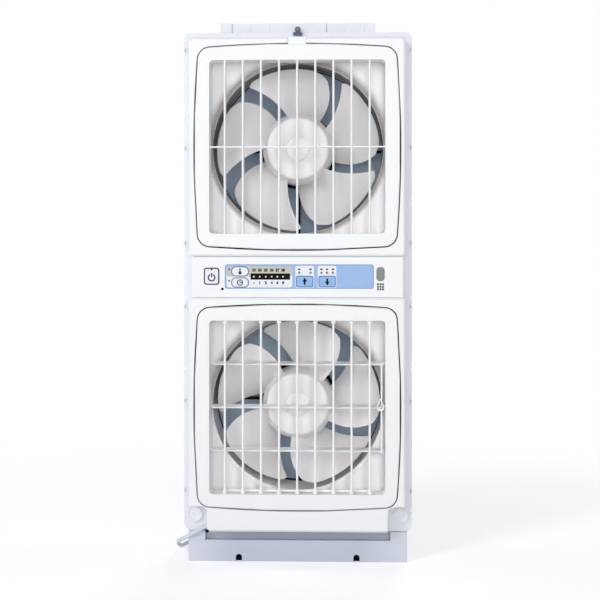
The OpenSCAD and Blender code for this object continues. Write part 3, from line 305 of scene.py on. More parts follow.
TURN_STEP = CORD_W + 0.7
COIL_OUTER = 28 + TURN_STEP * LAYER_TURNS / 2
COIL_MIDDLE = (-20, 136.4 + COIL_OUTER)


def smooth_route(route):
    """Points on a smooth curve through a route."""
    points = [Vector(p) for p in route]
    last = len(points) - 1
    line = []
    for i in range(last):
        a, b, c, e = (points[min(max(k, 0), last)] for k in (i - 1, i, i + 1, i + 2))
        for k in range(ROUTE_STEPS):
            f = k / ROUTE_STEPS
            line.append(0.5 * (2 * b + (c - a) * f + (2 * a - 5 * b + 4 * c - e) * f * f
                + (3 * b - a - 3 * c + e) * f ** 3))
    return line + [points[-1]]


def ease(x):
    """0 before 0 and 1 after 1, with a soft start and stop between."""
    x = min(max(x, 0), 1)
    return x * x * (3 - 2 * x)


def coil_point(t):
    """The coil's middle line after t turns: layers are wound inwards and outwards in turn."""
    layer = math.floor(t / LAYER_TURNS)
    part = t / LAYER_TURNS - layer
    wound = LAYER_TURNS * (part if layer % 2 == 0 else 1 - part)
    climb = sum(ease((t - LAYER_TURNS * k) * 2 + 0.5) for k in range(1, COIL_LAYERS))
    r = COIL_OUTER - TURN_STEP * wound
    turn = math.tau * t
    return Vector((COIL_MIDDLE[0] + r * math.sin(turn), COIL_MIDDLE[1] - r * math.cos(turn),
        CORD_REST + LAYER_H * climb))


def twin_profile():
    """The outline of a flat cord of two joined wires: (across the flat, up)."""
    r = CORD_H / 2
    lift = CORD_W / 2 - r
    outline = []
    for side in (1, -1):
        for k in range(WIRE_STEPS):
            turn = math.radians(WIRE_FROM + WIRE_ARC * k / (WIRE_STEPS - 1))
            outline.append((side * r * math.cos(turn), side * (lift + r * math.sin(turn))))
    return outline


def sweep(shape, path, outline):
    """Carries a closed outline along a path with its second axis kept upright."""
    ring = [shape.verts.new((0, 0, 0)) for _ in outline]
    edges = [shape.edges.new((ring[k], ring[k - 1])) for k in range(len(ring))]

    def lay(verts, i):
        along = (path[min(i + 1, len(path) - 1)] - path[max(i - 1, 0)]).normalized()
        side = along.cross(Vector((0, 0, 1))).normalized()
        up = side.cross(along)
        for vert, (a, b) in zip(verts, outline):
            vert.co = path[i] + side * (a * MM) + up * (b * MM)

    lay(ring, 0)
    shape.faces.new(ring)
    for i in range(1, len(path)):
        made = bmesh.ops.extrude_edge_only(shape, edges=edges)
        edges = [part for part in made["geom"] if isinstance(part, bmesh.types.BMEdge)]
        step = {}
        for vert in fresh_verts(made):
            for edge in vert.link_edges:
                other = edge.other_vert(vert)
                if other in ring:
                    step[other] = vert
        ring = [step[vert] for vert in ring]
        lay(ring, i)
    shape.faces.new(ring)
    clean(shape)


def cord_line():
    """The cord's middle line from the case, behind the fan, round the coil and to the plug."""
    coil = [coil_point(i / LOOP_STEPS) for i in range(COIL_TURNS * LOOP_STEPS + 1)]
    return [spot(*p) for p in smooth_route(CORD_ROUTE)[:-1] + coil + smooth_route(TAIL_ROUTE)]


# ---------------------------------------------------------------- finishes


def new_group(name, inputs, outputs):
    """A node group from rows of (name, kind, value) and of (name, kind)."""
    group = bpy.data.node_groups.new(name, "ShaderNodeTree")
    for label, kind, value in inputs:
        socket = group.interface.new_socket(name=label, in_out="INPUT", socket_type="NodeSocket" + kind)
        socket.default_value = value
    for label, kind in outputs:
        group.interface.new_socket(name=label, in_out="OUTPUT", socket_type="NodeSocket" + kind)
    return group


SKIN_OUTPUTS = (("Color", "Color"), ("Roughness", "Float"), ("Height", "Float"))
DUST_TONE = (0.55, 0.53, 0.5)


def moulded_skin_group():
    """Fine moulded grain, slow drift of tone, and dust that settles on faces that look up."""
    group = new_group("moulded_skin", (("Color", "Color", (0.8, 0.8, 0.8, 1)),
        ("Grain Scale", "Float", 900), ("Drift", "Float", 0.03), ("Dust", "Float", 0.1),
        ("Roughness", "Float", 0.4)), SKIN_OUTPUTS)
    given = node_in(group, "NodeGroupInput", (-1200, 0)).outputs
    place = object_place(group, (-1200, -300))
    grain = noise(group, (-900, -300), place, given["Grain Scale"], 3, 0.6)
    slow = noise(group, (-900, -550), place, 14, 4, 0.55)
    speck = noise(group, (-900, 550), place, 160, 5, 0.7)

    middle = maths(group, (-650, -550), "SUBTRACT", slow, 0.5)
    drift = maths(group, (-450, -550), "MULTIPLY", middle, given["Drift"])
    level = maths(group, (-250, -550), "ADD", drift, 1.0)
    toned = scaled(group, (-50, -200), given["Color"], level)

    facing = node_in(group, "ShaderNodeNewGeometry", (-900, 300)).outputs["Normal"]
    upward = share(group, (-500, 300), parts_of(group, (-700, 300), facing)["Z"], 0.5, 1, "LINEAR")
    patchy = share(group, (-650, 550), speck, 0.38, 0.72, "LINEAR")
    settled = maths(group, (-300, 400), "MULTIPLY", upward, patchy)
    dust = maths(group, (-100, 400), "MULTIPLY", settled, given["Dust"])
    dusty = blend(group, (200, 100), dust, toned, DUST_TONE)

    worn = maths(group, (200, -350), "MULTIPLY_ADD", slow, 0.14, given["Roughness"])
    rough = maths(group, (400, -250), "ADD", worn, dust, clamp=True)
    node_in(group, "NodeGroupOutput", (700, 0), in_Color=dusty, in_Roughness=rough, in_Height=grain)
    return group


def turned_skin_group():
    """Fine lines as a lathe leaves them, and slow drift of tone."""
    group = new_group("turned_skin", (("Color", "Color", (0.6, 0.6, 0.6, 1)),
        ("Roughness", "Float", 0.3)), SKIN_OUTPUTS)
    given = node_in(group, "NodeGroupInput", (-900, 0)).outputs
    stretch = node_in(group, "ShaderNodeMapping", (-700, -300), object_place(group, (-900, -300)),
        in_Scale=(60, 1500, 60))
    lines = noise(group, (-500, -300), stretch.outputs[0], 1, 3, 0.6)
    spread = share(group, (-250, -300), lines, 0, 1, "LINEAR", (0.82, 1.12))
    toned = scaled(group, (0, 0), given["Color"], spread)
    rough = maths(group, (0, -300), "MULTIPLY", given["Roughness"], spread, clamp=True)
    node_in(group, "NodeGroupOutput", (500, 0), in_Color=toned, in_Roughness=rough, in_Height=lines)
    return group


MOULDED = moulded_skin_group()
TURNED = turned_skin_group()
COAT_ROUGHNESS = 0.12
MOULDED_GRAIN, TURNED_GRAIN = 0.0004, 0.0002


def skinned(name, group, values, bump, depth, metallic=0.0, coat=0.0, shine=0.5):
    """A material: one Principled shader fed by a skin group."""
    paint = bpy.data.materials.new(name)
    paint.use_nodes = True
    tree = paint.node_tree
    shader = tree.nodes["Principled BSDF"]
    for key, value in (("Metallic", metallic), ("Coat Weight", coat),
            ("Coat Roughness", COAT_ROUGHNESS), ("Specular IOR Level", shine)):
        shader.inputs[key].default_value = value
    skin = node_in(tree, "ShaderNodeGroup", (-500, 200), node_tree=group)
    for key, value in values.items():
        skin.inputs[key].default_value = value
    dent = node_in(tree, "ShaderNodeBump", (-250, -200), in_Strength=bump, in_Distance=depth,
        in_Height=skin.outputs["Height"])
    tree.links.new(skin.outputs["Color"], shader.inputs["Base Color"])
    tree.links.new(skin.outputs["Roughness"], shader.inputs["Roughness"])
    tree.links.new(dent.outputs["Normal"], shader.inputs["Normal"])
    return paint


def plastic(name, color, rough=0.32, grain=900, bump=0.12, drift=0.03, dust=0.06, coat=0.0, shine=0.5):
    values = {"Color": (*color, 1), "Grain Scale": grain, "Drift": drift, "Dust": dust,
        "Roughness": rough}
    return skinned(name, MOULDED, values, bump, MOULDED_GRAIN, coat=coat, shine=shine)


def metal(name, color, rough=0.28, bump=0.2):
    values = {"Color": (*color, 1), "Roughness": rough}
    return skinned(name, TURNED, values, bump, TURNED_GRAIN, metallic=1.0)


LABEL_BLUE = (0.35, 0.525, 0.83)
BUTTON_WHITE = (0.88, 0.89, 0.93)
DUCT_WALL = (0.96, 0.94, 0.93)
DUCT_FACE = (0.96, 0.935, 0.94)
# The duct ring tone is painted shade round the ducts' mouths.
DUCT_RING_SHADE = (0.33, 0.30, 0.285)
# The bracket's darker middle tone is painted shade; the paler ends are its own tone.
BRACKET_SHADED_MIDDLE = (0.535, 0.575, 0.675)
BRACKET_ENDS = (0.70, 0.72, 0.80)

PAINT = {
    "casing_white": plastic("casing_white", (0.81, 0.83, 0.88), 0.34, 1100, 0.14),
    "panel_white": plastic("panel_white", (0.92, 0.93, 0.95), 0.3, 1000, 0.06, 0.012),
    "vane_white": plastic("vane_white", (0.97, 0.98, 0.99), 0.3, 1000, 0.06, 0.012),
    "duct_white": plastic("duct_white", DUCT_WALL, 0.4, 1100, 0.1),
    "blade_grey": plastic("blade_grey", (0.90, 0.875, 0.88), 0.28, 700, 0.05, 0.04),
    "shutter_blue": plastic("shutter_blue", (0.62, 0.775, 0.97), 0.5, 800, 0.2, 0.08),
    # The motor stays are black so the gaps between the shutter doors and round the motors read as dark
    # as their shade: partly the stays' own paint, partly painted shade.
    "black_steel": plastic("black_steel", (0.004, 0.004, 0.005), 0.5, 1500, 0.2, 0.1, shine=0.15),
    "bracket_grey": plastic("bracket_grey", BRACKET_SHADED_MIDDLE, 0.36, 1100, 0.14, 0.05),
    "label_blue": plastic("label_blue", LABEL_BLUE, 0.3, 2500, 0.03, 0.02, 0.02, shine=0.2),
    "dark_window": plastic("dark_window", (0.002, 0.002, 0.003), 0.25, 400, 0.02, 0.05, 0.005,
        shine=0.06),
    "grey_window": plastic("grey_window", (0.21, 0.215, 0.225), 0.2, 400, 0.02, 0.05, 0.02,
        0.15, 0.3),
    "button_white": plastic("button_white", BUTTON_WHITE, 0.24, 1000, 0.05, 0.01),
    "button_blue": plastic("button_blue", (0.25, 0.46, 0.78), 0.26, 1000, 0.05, 0.02),
    "board_green": plastic("board_green", (0.03, 0.16, 0.06), 0.3, 600, 0.1, 0.1),
    "motor_grey": plastic("motor_grey", (0.045, 0.05, 0.06), 0.34, 900, 0.25, 0.12, 0.2),
    "screw_navy": plastic("screw_navy", (0.02, 0.035, 0.12), 0.3, 900, 0.06, 0.05),
    # The cord is white; its grey-blue tone is painted shade.
    "cord_grey": plastic("cord_grey", (0.66, 0.72, 0.83), 0.42, 1300, 0.16, 0.04),
    "bright_steel": metal("bright_steel", (0.60, 0.61, 0.63), 0.26),
    "stator_steel": metal("stator_steel", (0.22, 0.22, 0.24), 0.45, 0.35),
    "bush_bronze": metal("bush_bronze", (0.45, 0.27, 0.11), 0.4, 0.3),
}


def skin_of(paint):
    return next(node for node in paint.node_tree.nodes if node.type == "GROUP")


# Metres from the middle between which the lower bracket grows paler: its darker middle is painted shade,
# as under the panel.
BRACKET_SHADE_FADE = (0.07, 0.14)


def pale_ends(paint, middle, ends):
    """Lets a skinned material grow paler towards both ends of the part: the darker middle is painted
    shade, as where the panel above shades the bracket.
    """
    tree = paint.node_tree
    place = parts_of(tree, (-1300, 0), object_place(tree, (-1500, 0)))
    away = maths(tree, (-1100, 0), "ABSOLUTE", place["X"])
    color = blend(tree, (-700, 0), share(tree, (-900, 0), away, *BRACKET_SHADE_FADE), middle, ends)
    tree.links.new(color, skin_of(paint).inputs["Color"])


# Radii and heights in metres between which the ducts' tones change and the painted shade on the rings
# round their mouths fades.
MOUTH_EDGE = (0.1046, 0.1049)
LOWER_RING_SHADE = (0.1055, 0.1125)
UPPER_RING_SHADE = (0.1045, 0.1180)
RING_SHADE_TOP = (-0.04, 0.05)
FAN_SPLIT = (-0.01, 0.01)


def duct_tones_and_ring_shade(paint, wall, face, ring):
    """Gives the ducts' flat face one tone and paints shade on the rings round their mouths, as light
    from above leaves them: the painted shade on the upper half of each ring is broad, and only the upper
    fan has a lower half."""
    tree = paint.node_tree
    place = parts_of(tree, (-2100, 0), object_place(tree, (-2300, 0)))
    middle = (UPPER_FAN_Z + LOWER_FAN_Z) / 2 * MM
    apart = (UPPER_FAN_Z - LOWER_FAN_Z) / 2 * MM
    away = maths(tree, (-1900, 0), "SUBTRACT", place["Z"], middle)
    folded = maths(tree, (-1500, 0), "SUBTRACT", maths(tree, (-1700, 0), "ABSOLUTE", away), apart)
    rise = maths(tree, (-1300, -200), "MULTIPLY", folded, maths(tree, (-1500, -200), "SIGN", away))
    square = maths(tree, (-1300, 0), "MULTIPLY", folded, folded)
    square = maths(tree, (-1100, 0), "MULTIPLY_ADD", place["X"], place["X"], square)
    radius = maths(tree, (-900, 0), "SQRT", square)
    outside = share(tree, (-700, 200), radius, *MOUTH_EDGE)
    low_shade_band = maths(tree, (-500, 0), "SUBTRACT", 1.0, share(tree, (-700, 0), radius, *LOWER_RING_SHADE))
    high_shade_band = maths(tree, (-500, -200), "SUBTRACT", 1.0,
        share(tree, (-700, -200), radius, *UPPER_RING_SHADE))
    upward = share(tree, (-1100, -300), rise, *RING_SHADE_TOP)
    upper_fan = share(tree, (-1100, -500), away, *FAN_SPLIT)
    shade_below = maths(tree, (-700, -500), "MULTIPLY",
        maths(tree, (-900, -500), "SUBTRACT", 1.0, upward), upper_fan)
    width = maths(tree, (-100, -200), "ADD", maths(tree, (-300, -200), "MULTIPLY", high_shade_band, upward),
        maths(tree, (-300, -400), "MULTIPLY", low_shade_band, shade_below))
    flat = blend(tree, (-300, 400), outside, wall, face)
    amount = maths(tree, (100, 0), "MULTIPLY", outside, width)
    # The ring tone blended in here is painted shade.
    tree.links.new(blend(tree, (300, 300), amount, flat, ring), skin_of(paint).inputs["Color"])


pale_ends(PAINT["bracket_grey"], BRACKET_SHADED_MIDDLE, BRACKET_ENDS)
duct_tones_and_ring_shade(PAINT["duct_white"], DUCT_WALL, DUCT_FACE, DUCT_RING_SHADE)

SLOT_OF = {part["node"]: part["material_slot"] for part in frame["record"]["subparts"]}
for node_name, node in frame["nodes"].items():
    guide = node_name.startswith(("vane_", "slat_"))
    for holder in node.material_slots:
        holder.material = PAINT["vane_white" if guide else SLOT_OF[node_name]]

# ---------------------------------------------------------------- printing

BOX_INPUTS = ("Middle X", "Middle Z", "Width", "Height", "Corner")
# Half the width of a printed edge's blur, in millimetres.
PRINT_BLUR = 0.1


def printed_box_group():
    """The mask of a rectangle with round corners on the front, measured in millimetres."""
    sizes = [(name, "Float", value) for name, value in zip(BOX_INPUTS, (0, 0, 10, 10, 1))]
    group = new_group("printed_box", sizes, [("Mask", "Float")])
    given = node_in(group, "NodeGroupInput", (-1300, 0)).outputs
    place = parts_of(group, (-1100, 300), scaled(group, (-1300, 300),
        object_place(group, (-1500, 300)), 1 / MM))

    def step(at, operation, *feeds):
        return maths(group, at, operation, *feeds)

    corner = given["Corner"]
    # How far a point lies past the box's straight sides, across and up, measured from its corners.
    past = []
    for y, axis, middle, size in ((200, "X", "Middle X", "Width"), (-100, "Z", "Middle Z", "Height")):
        away = step((-700, y), "ABSOLUTE", step((-900, y), "SUBTRACT", place[axis], given[middle]))
        half = step((-900, y - 120), "MULTIPLY", given[size], 0.5)
        past.append(step((-500, y), "SUBTRACT", away, step((-700, y - 120), "SUBTRACT", half, corner)))
    outside = [step((-300, 150 - 200 * k), "MAXIMUM", value, 0) for k, value in enumerate(past)]
    squares = [step((-100, 150 - 200 * k), "MULTIPLY", value, value) for k, value in enumerate(outside)]
    reach = step((250, 100), "SQRT", step((100, 100), "ADD", *squares))
    within = step((100, -300), "MINIMUM", step((-100, -300), "MAXIMUM", *past), 0)
    edge = step((550, 0), "SUBTRACT", step((400, 0), "ADD", reach, within), corner)
    mask = share(group, (700, 0), edge, PRINT_BLUR, -PRINT_BLUR, "LINEAR")
    node_in(group, "NodeGroupOutput", (900, 0), in_Mask=mask)
    return group


PRINTED_BOX = printed_box_group()
INK_NAVY = (0.02, 0.04, 0.13)
INK_BLUE = (0.12, 0.2, 0.5)
INK_EDGE = (0.2, 0.32, 0.66)
INK_DARK = (0.008, 0.008, 0.014)
FIELD_WHITE = (0.86, 0.88, 0.92)
FIELD_CREAM = (0.60, 0.57, 0.50)


def printed(paint, ground, layers):
    """Prints layers over a skinned material: each is an ink and its boxes, of which the second
    and later ones are taken out of the first. A box is (middle x, middle z, width, height,
    corner radius)."""
    tree = paint.node_tree
    color = ground
    for row, (ink, boxes) in enumerate(layers):
        y = 300 - 260 * row
        mask = None
        for k, box in enumerate(boxes):
            at = (-1700, y - 60 * k)
            found = node_in(tree, "ShaderNodeGroup", at, *box, node_tree=PRINTED_BOX).outputs["Mask"]
            if mask is None:
                mask = found
            else:
                mask = maths(tree, (-1400, y - 60 * k), "SUBTRACT", mask, found, clamp=True)
        color = blend(tree, (-1100, y), mask, color, ink)
    tree.links.new(color, skin_of(paint).inputs["Color"])
    return paint


def button_paint(name, layers):
    paint = plastic(name, BUTTON_WHITE, 0.3, 1000, 0.05, 0.01, shine=0.25)
    return printed(paint, BUTTON_WHITE, layers)


def grown(box, grow, corner):
    """A box made larger by a margin all round, with its own corner radius."""
    return box[0], box[1], box[2] + 2 * grow, box[3] + 2 * grow, corner


# The buttons' middles on the strip, and the sizes of those with print round their edges.
AUTO = (-68.7, STRIP_Z + 6.2, 19.2, 9.8)
TIMER = (-68.7, STRIP_Z - 7.2, 19.2, 9.8)
EXHAUST = (9.1, STRIP_Z - 6)
INTAKE = (36.2, STRIP_Z - 6)
POWER = (-103, STRIP_Z + 0.3, 18, 20)
DISPLAY_X, DISPLAY_W = -45.4, 79.2
MODE_X = (2.4, 16.1, 29.2, 36.0, 43.0)
MODE_Z, MODE_RING_Z = 356.4, 352.3

label_layers = [
    (INK_EDGE, [(2.5, STRIP_Z, 179, 29, 3), (2.5, STRIP_Z, 177.4, 27.4, 2.4)]),
    (FIELD_WHITE, [(DISPLAY_X, STRIP_Z - 0.6, DISPLAY_W, 25.2, 3.4)]),
    (FIELD_CREAM, [(DISPLAY_X, STRIP_Z + 6.0, DISPLAY_W, 12.2, 3.4)]),
    (INK_BLUE, [grown(AUTO, 1.3, 6.1), grown(AUTO, 0.2, 5.0)]),
    (INK_BLUE, [grown(TIMER, 1.3, 6.1), grown(TIMER, 0.2, 5.0)]),
]
for x in (9.1, 36.0):
    label_layers += [
        (FIELD_WHITE, [(x, STRIP_Z - 0.4, 22.4, 26.6, 2.4)]),
        (INK_BLUE, [(x, STRIP_Z - 6, 20.9, 14.0, 2.5), (x, STRIP_Z - 6, 19.2, 12.3, 1.8)]),
    ]
for x in MODE_X:
    label_layers += [
        (INK_DARK, [(x, MODE_Z, 3.0, 1.7, 0.3)]),
        (INK_DARK, [(x, MODE_RING_Z, 2.8, 2.8, 1.4), (x, MODE_RING_Z, 1.0, 1.0, 0.5)]),
    ]
printed(PAINT["label_blue"], LABEL_BLUE, label_layers)

for node_name, paint in {
    "power_button": button_paint("power_white", [
        (INK_NAVY, [grown(POWER, 0.1, 3.1), grown(POWER, -1.2, 2.2)]),
        (INK_DARK, [(POWER[0], POWER[1] - 1.6, 9.4, 9.4, 4.7), (POWER[0], POWER[1] - 1.6, 6.2, 6.2, 3.1),
            (POWER[0], POWER[1] + 2.8, 3.6, 4.0, 0.2)]),
        (INK_DARK, [(POWER[0], POWER[1] + 1.4, 1.6, 5.4, 0.6)]),
    ]),
    "auto_button": button_paint("auto_white", [
        (INK_DARK, [(AUTO[0], AUTO[1] + 0.9, 2.4, 5.8, 1.2), (AUTO[0], AUTO[1] + 1.4, 0.6, 3.6, 0.3)]),
        (INK_DARK, [(AUTO[0], AUTO[1] - 1.9, 3.8, 3.8, 1.9)]),
    ]),
    "timer_button": button_paint("timer_white", [
        (INK_DARK, [(TIMER[0], TIMER[1], 7.6, 7.6, 3.8), (TIMER[0], TIMER[1], 5.2, 5.2, 2.6)]),
        (INK_DARK, [(TIMER[0], TIMER[1] + 0.9, 1.0, 2.8, 0.4)]),
        (INK_DARK, [(TIMER[0] + 1, TIMER[1], 2.6, 1.0, 0.4)]),
    ]),
}.items():
    frame["nodes"][node_name].material_slots[0].material = paint

# ---------------------------------------------------------------- cord


def make_cord():
    line = cord_line()
    shape = bmesh.new()
    sweep(shape, line, twin_profile())
    cord = finish_piece("mains_cord", shape, "casing", PAINT["cord_grey"],
        ("power_cord", "cord_coil"), 50)
    return cord, line


cord, cord_path = make_cord()

# ---------------------------------------------------------------- fans

TIP_R, HUB_R, HUB_FLARE, HUB_WALL, BLADE_T = 101.0, 39.0, 5.0, 2.4, 2.0
HUB_D, HUB_LEN, HUB_EDGE, HUB_SWELL, BLADE_RISE = 31.0, 47.0, 4, 13.0, 36.0
BLADE_D = HUB_D + HUB_LEN / 2 + 1
BLADES = 5
BLADE_BOW = 3
# Degrees at which a blade's two edges leave the hub, and by how much each has turned at the tip.
BLADE_FROM, BLADE_TO = (0, 53.2), (17.4, 22.5)
TIP_NARROWS = 0.34
# The tip's two corners: the share of the blade's width that each takes, and its depth.
FIRST_CORNER, LAST_CORNER = (0.14, 6), (0.12, 4)
ACROSS, OUTWARD = 28, 20
CAP_SEAT_R, BORE_R, SHAFT_HOLE_R, BORE_LEN = 14.8, 8.5, 3.2, 20


def hub_side(d):
    """Radius of a hub's side at depth d: it swells behind the rounded front edge."""
    swell = min(1, max(0, (d - HUB_D - HUB_EDGE) / HUB_SWELL))
    return HUB_R + HUB_FLARE * math.sin(math.pi / 2 * swell)


def blade_point(u, s, lean, off):
    """A point of a blade: u from edge to edge, s from hub to tip, off through its thickness."""
    bow = BLADE_BOW * math.sin(math.pi * u)
    root = hub_side(BLADE_D + lean * (BLADE_RISE * (0.5 - u) + bow)) - HUB_WALL / 2
    first = max(0, 1 - u / FIRST_CORNER[0])
    last = max(0, (u - 1 + LAST_CORNER[0]) / LAST_CORNER[0])
    reach = TIP_R - FIRST_CORNER[1] * first ** 2 - LAST_CORNER[1] * last ** 2
    r = root + (reach - root) * s
    t = (r - root) / (TIP_R - root)
    low = BLADE_FROM[0] + BLADE_TO[0] * t * t
    high = BLADE_FROM[1] + BLADE_TO[1] * t
    turn = math.radians(low + (high - low) * u)
    rise = BLADE_RISE * (1 - TIP_NARROWS * s) * (0.5 - u) + bow * (1 - s / 2)
    return r * math.cos(turn), BLADE_D + off + lean * rise, r * math.sin(turn)


def add_blades(shape, z, lean, phase):
    """One bent blade, given its thickness and copied round the hub."""
    made = bmesh.ops.create_grid(shape, x_segments=ACROSS, y_segments=OUTWARD, size=0.5)
    for vert in made["verts"]:
        u = (1 - math.cos(math.pi * (vert.co.x + 0.5))) / 2
        x, d, dz = blade_point(u, vert.co.y + 0.5, lean, -BLADE_T / 2)
        vert.co = spot(x, d, z + dz)
    pushed(shape, list(shape.faces), BLADE_T)
    whole = list(shape.verts)
    geom = whole + list(shape.edges) + list(shape.faces)
    bmesh.ops.rotate(shape, verts=whole, cent=spot(0, 0, z),
        matrix=Matrix.Rotation(-math.radians(phase), 3, "Y"))
    bmesh.ops.spin(shape, geom=geom, cent=spot(0, 0, z), axis=(0, -1, 0), dvec=(0, 0, 0),
        angle=math.tau * (BLADES - 1) / BLADES, steps=BLADES - 1, use_duplicate=True)
    bmesh.ops.recalc_face_normals(shape, faces=shape.faces)


def hub_profile():
    """Half of a hub's section, as (radius, depth): a cup with a rounded front edge, and a boss
    for the shaft inside it."""
    back, rear = HUB_D + HUB_LEN, HUB_R + HUB_FLARE
    face, bore_end = HUB_D + 1.6, HUB_D + BORE_LEN
    seat = [(CAP_SEAT_R, face), (CAP_SEAT_R, HUB_D + 0.75), (CAP_SEAT_R + 0.2, HUB_D + 0.6),
        (16, HUB_D + 0.6), (17, HUB_D)]
    middle = HUB_D + HUB_EDGE
    edge = [(HUB_R - HUB_EDGE + HUB_EDGE * math.sin(math.radians(a)),
        middle - HUB_EDGE * math.cos(math.radians(a))) for a in range(0, 64, 9)]
    side = [(hub_side(d), d) for d in (middle + HUB_SWELL * k / 8 for k in range(9))]
    rim = [(rear, back - 3), (rear, back - 0.3), (rear - 0.3, back), (rear - 2.1, back),
        (rear - HUB_WALL, back - 0.3)]
    inside = [(HUB_R - HUB_WALL, HUB_D + 9), (HUB_R - 6, middle), (BORE_R, middle), (BORE_R, bore_end)]
    hole = [(SHAFT_HOLE_R, bore_end), (SHAFT_HOLE_R, face), (CAP_SEAT_R, face)]
    return seat + edge + side + rim + inside + hole


def make_fan(name, z, lean, phase, body):
    shape = bmesh.new()
    add_blades(shape, z, lean, phase)
    hub = bmesh.new()
    turned(hub, hub_profile(), (0, z))
    clean(hub)
    mesh = bpy.data.meshes.new("hub")
    hub.to_mesh(mesh)
    hub.free()
    shape.from_mesh(mesh)
    bpy.data.meshes.remove(mesh)
    finish_piece(name + "_blades", shape, body, PAINT["blade_grey"], (name,), 40)


make_fan("upper_fan", UPPER_FAN_Z, 1, 54, "upper_impeller")
make_fan("lower_fan", LOWER_FAN_Z, -1, 43, "lower_impeller")

# ---------------------------------------------------------------- lamps, numbers and signs

# Depths of the faces of the strip, the label and the buttons.
STRIP_D = 1.6
LABEL_D = STRIP_D + 0.1
BUTTON_D = STRIP_D - 0.8
INK_T, INK_SINK = 0.06, 0.02
NUMBER_H, NUMBER_SWELL, NUMBER_LIFT = 4.3, 0.3, 7.6


def rounded_plate(shape, x, z, width, height, corner, d0, d1, segments=4):
    """A flat plate with round corners, from depth d0 back to d1."""
    before = set(shape.faces)
    made = bmesh.ops.create_grid(shape, x_segments=1, y_segments=1, size=0.5)
    for vert in made["verts"]:
        vert.co = spot(x + vert.co.x * width, d1, z + vert.co.y * height)
    bmesh.ops.bevel(shape, geom=made["verts"], offset=corner * MM, offset_type="OFFSET",
        affect="VERTICES", segments=segments, profile=0.5, material=-1)
    pushed(shape, [face for face in shape.faces if face not in before], d0 - d1)


def lens(shape, x, z, r, d0, rise, steps=20):
    """A small domed lamp that stands forward from depth d0."""
    turned(shape, [(0, d0 - rise), (0.5 * r, d0 - 0.86 * rise), (0.85 * r, d0 - 0.45 * rise), (r, d0),
        (r, d0 + 0.3), (0, d0 + 0.3)], (x, z), steps)


def lamp_piece(name, places, rise, body, paint):
    """Domed lamps in one piece: each of places is (x, z, radius, depth)."""
    shape = bmesh.new()
    for x, z, r, d in places:
        lens(shape, x, z, r, d, rise)
    clean(shape)
    finish_piece(name, shape, body, paint, smooth_angle=40)


LAMP_X = (-52.0, -45.0, -37.7, -30.6, -23.8, -16.9)
BUTTON_LAMP_X = -82.0
lamp_glow = plastic("lamp_glow", (0.93, 0.94, 0.92), 0.2, 300, 0.02, 0.02, 0.0, 0.2)
lamp_dark = plastic("lamp_dark", (0.012, 0.013, 0.016), 0.15, 300, 0.02, 0.02, 0.0, shine=0.3)
lamp_piece("timer_lamps", [(x, STRIP_Z - 0.2, 1.0, LABEL_D + 0.02) for x in LAMP_X], 0.12,
    "casing", lamp_glow)
lamp_piece("mode_lamps", [(BUTTON_LAMP_X, z, 1.1, LABEL_D) for z in (MODE_Z, MODE_Z - 14)]
    + [(x, MODE_Z, 0.75, LABEL_D) for x in MODE_X], 0.15, "casing", lamp_dark)
lamp_piece("power_lamp", [(POWER[0], 356.0, 1.1, BUTTON_D)], 0.15, "power_button",
    lamp_dark)


def number_piece(name, words, height, ink, body):
    """Numbers printed on the front: each of words is (text, x, z)."""
    shape = bmesh.new()
    for text, x, z in words:
        curve = bpy.data.curves.new(name, "FONT")
        curve.body = text
        curve.size = height * MM
        curve.align_x = "CENTER"
        curve.align_y = "CENTER"
        curve.extrude = INK_T / 2 * MM
        curve.offset = NUMBER_SWELL * MM
        curve.resolution_u = 3
        holder = bpy.data.objects.new(name, curve)
        scene.collection.objects.link(holder)
        depsgraph = bpy.context.evaluated_depsgraph_get()
        mesh = bpy.data.meshes.new_from_object(holder.evaluated_get(depsgraph))
        place = Matrix.Translation(spot(x, LABEL_D - INK_SINK, z))
        mesh.transform(place @ Matrix.Rotation(math.pi / 2, 4, "X"))
        shape.from_mesh(mesh)
        bpy.data.objects.remove(holder)
        bpy.data.curves.remove(curve)
        bpy.data.meshes.remove(mesh)
    clean(shape)
    finish_piece(name, shape, body, ink)


ink_dark = plastic("ink_dark", INK_DARK, 0.5, 2000, 0.02, 0.05, 0.0, shine=0.1)
number_piece("strip_numbers", [(str(23 + k), x, STRIP_Z + NUMBER_LIFT) for k, x in enumerate(LAMP_X)]
    + [(text, x, STRIP_Z - NUMBER_LIFT) for text, x in zip(("-", "1", "2", "4", "6", "8"), LAMP_X)],
    NUMBER_H, ink_dark, "casing")


def arrow_sign(name, middle, body, turn):
    """A printed arrow on a button, turned to the way that the air goes."""
    x, z = middle
    back = BUTTON_D + INK_SINK
    shape = bmesh.new()
    rounded_plate(shape, x, z - 1.5, 2.2, 4.6, 0.3, back - INK_T, back, 2)
    place = Matrix.Translation(spot(x, back, z + 1.6))
    made = bmesh.ops.create_circle(shape, cap_ends=True, segments=3, radius=3.3 * MM,
        matrix=place @ Matrix.Rotation(math.pi / 2, 4, "X"))
    pushed(shape, list({face for vert in made["verts"] for face in vert.link_faces}), -INK_T)
    bmesh.ops.rotate(shape, verts=shape.verts, cent=spot(x, 0, z),
        matrix=Matrix.Rotation(math.radians(turn), 3, "Y"))
    clean(shape)
    finish_piece(name, shape, body, ink_dark)


arrow_sign("exhaust_sign", EXHAUST, "exhaust_button", 0)
arrow_sign("intake_sign", INTAKE, "intake_button", 180)

# ---------------------------------------------------------------- dark backings and strips, painted shade

# The holes in the front: a grid of small square ones and a round one for a pin in the strip's
# face, and a round one in the lower panel's skirt.
GRID = [(100.1 + x, STRIP_Z - 12.2 + z) for x in (-3, 0, 3) for z in (-3, 0, 3)]
GRID_MIDDLE = GRID[4]
PIN_HOLE = (-90.1, STRIP_Z - 15)
SKIRT_HOLE = (-108.5, 41.4)
# Front and back depths of the dark plates behind the strip and of the studs in its holes, which are
# painted shade inside the holes.
BACKING = (STRIP_D + 2.05, STRIP_D + 2.6)
STUD = (STRIP_D + 0.35, STRIP_D + 2.2)
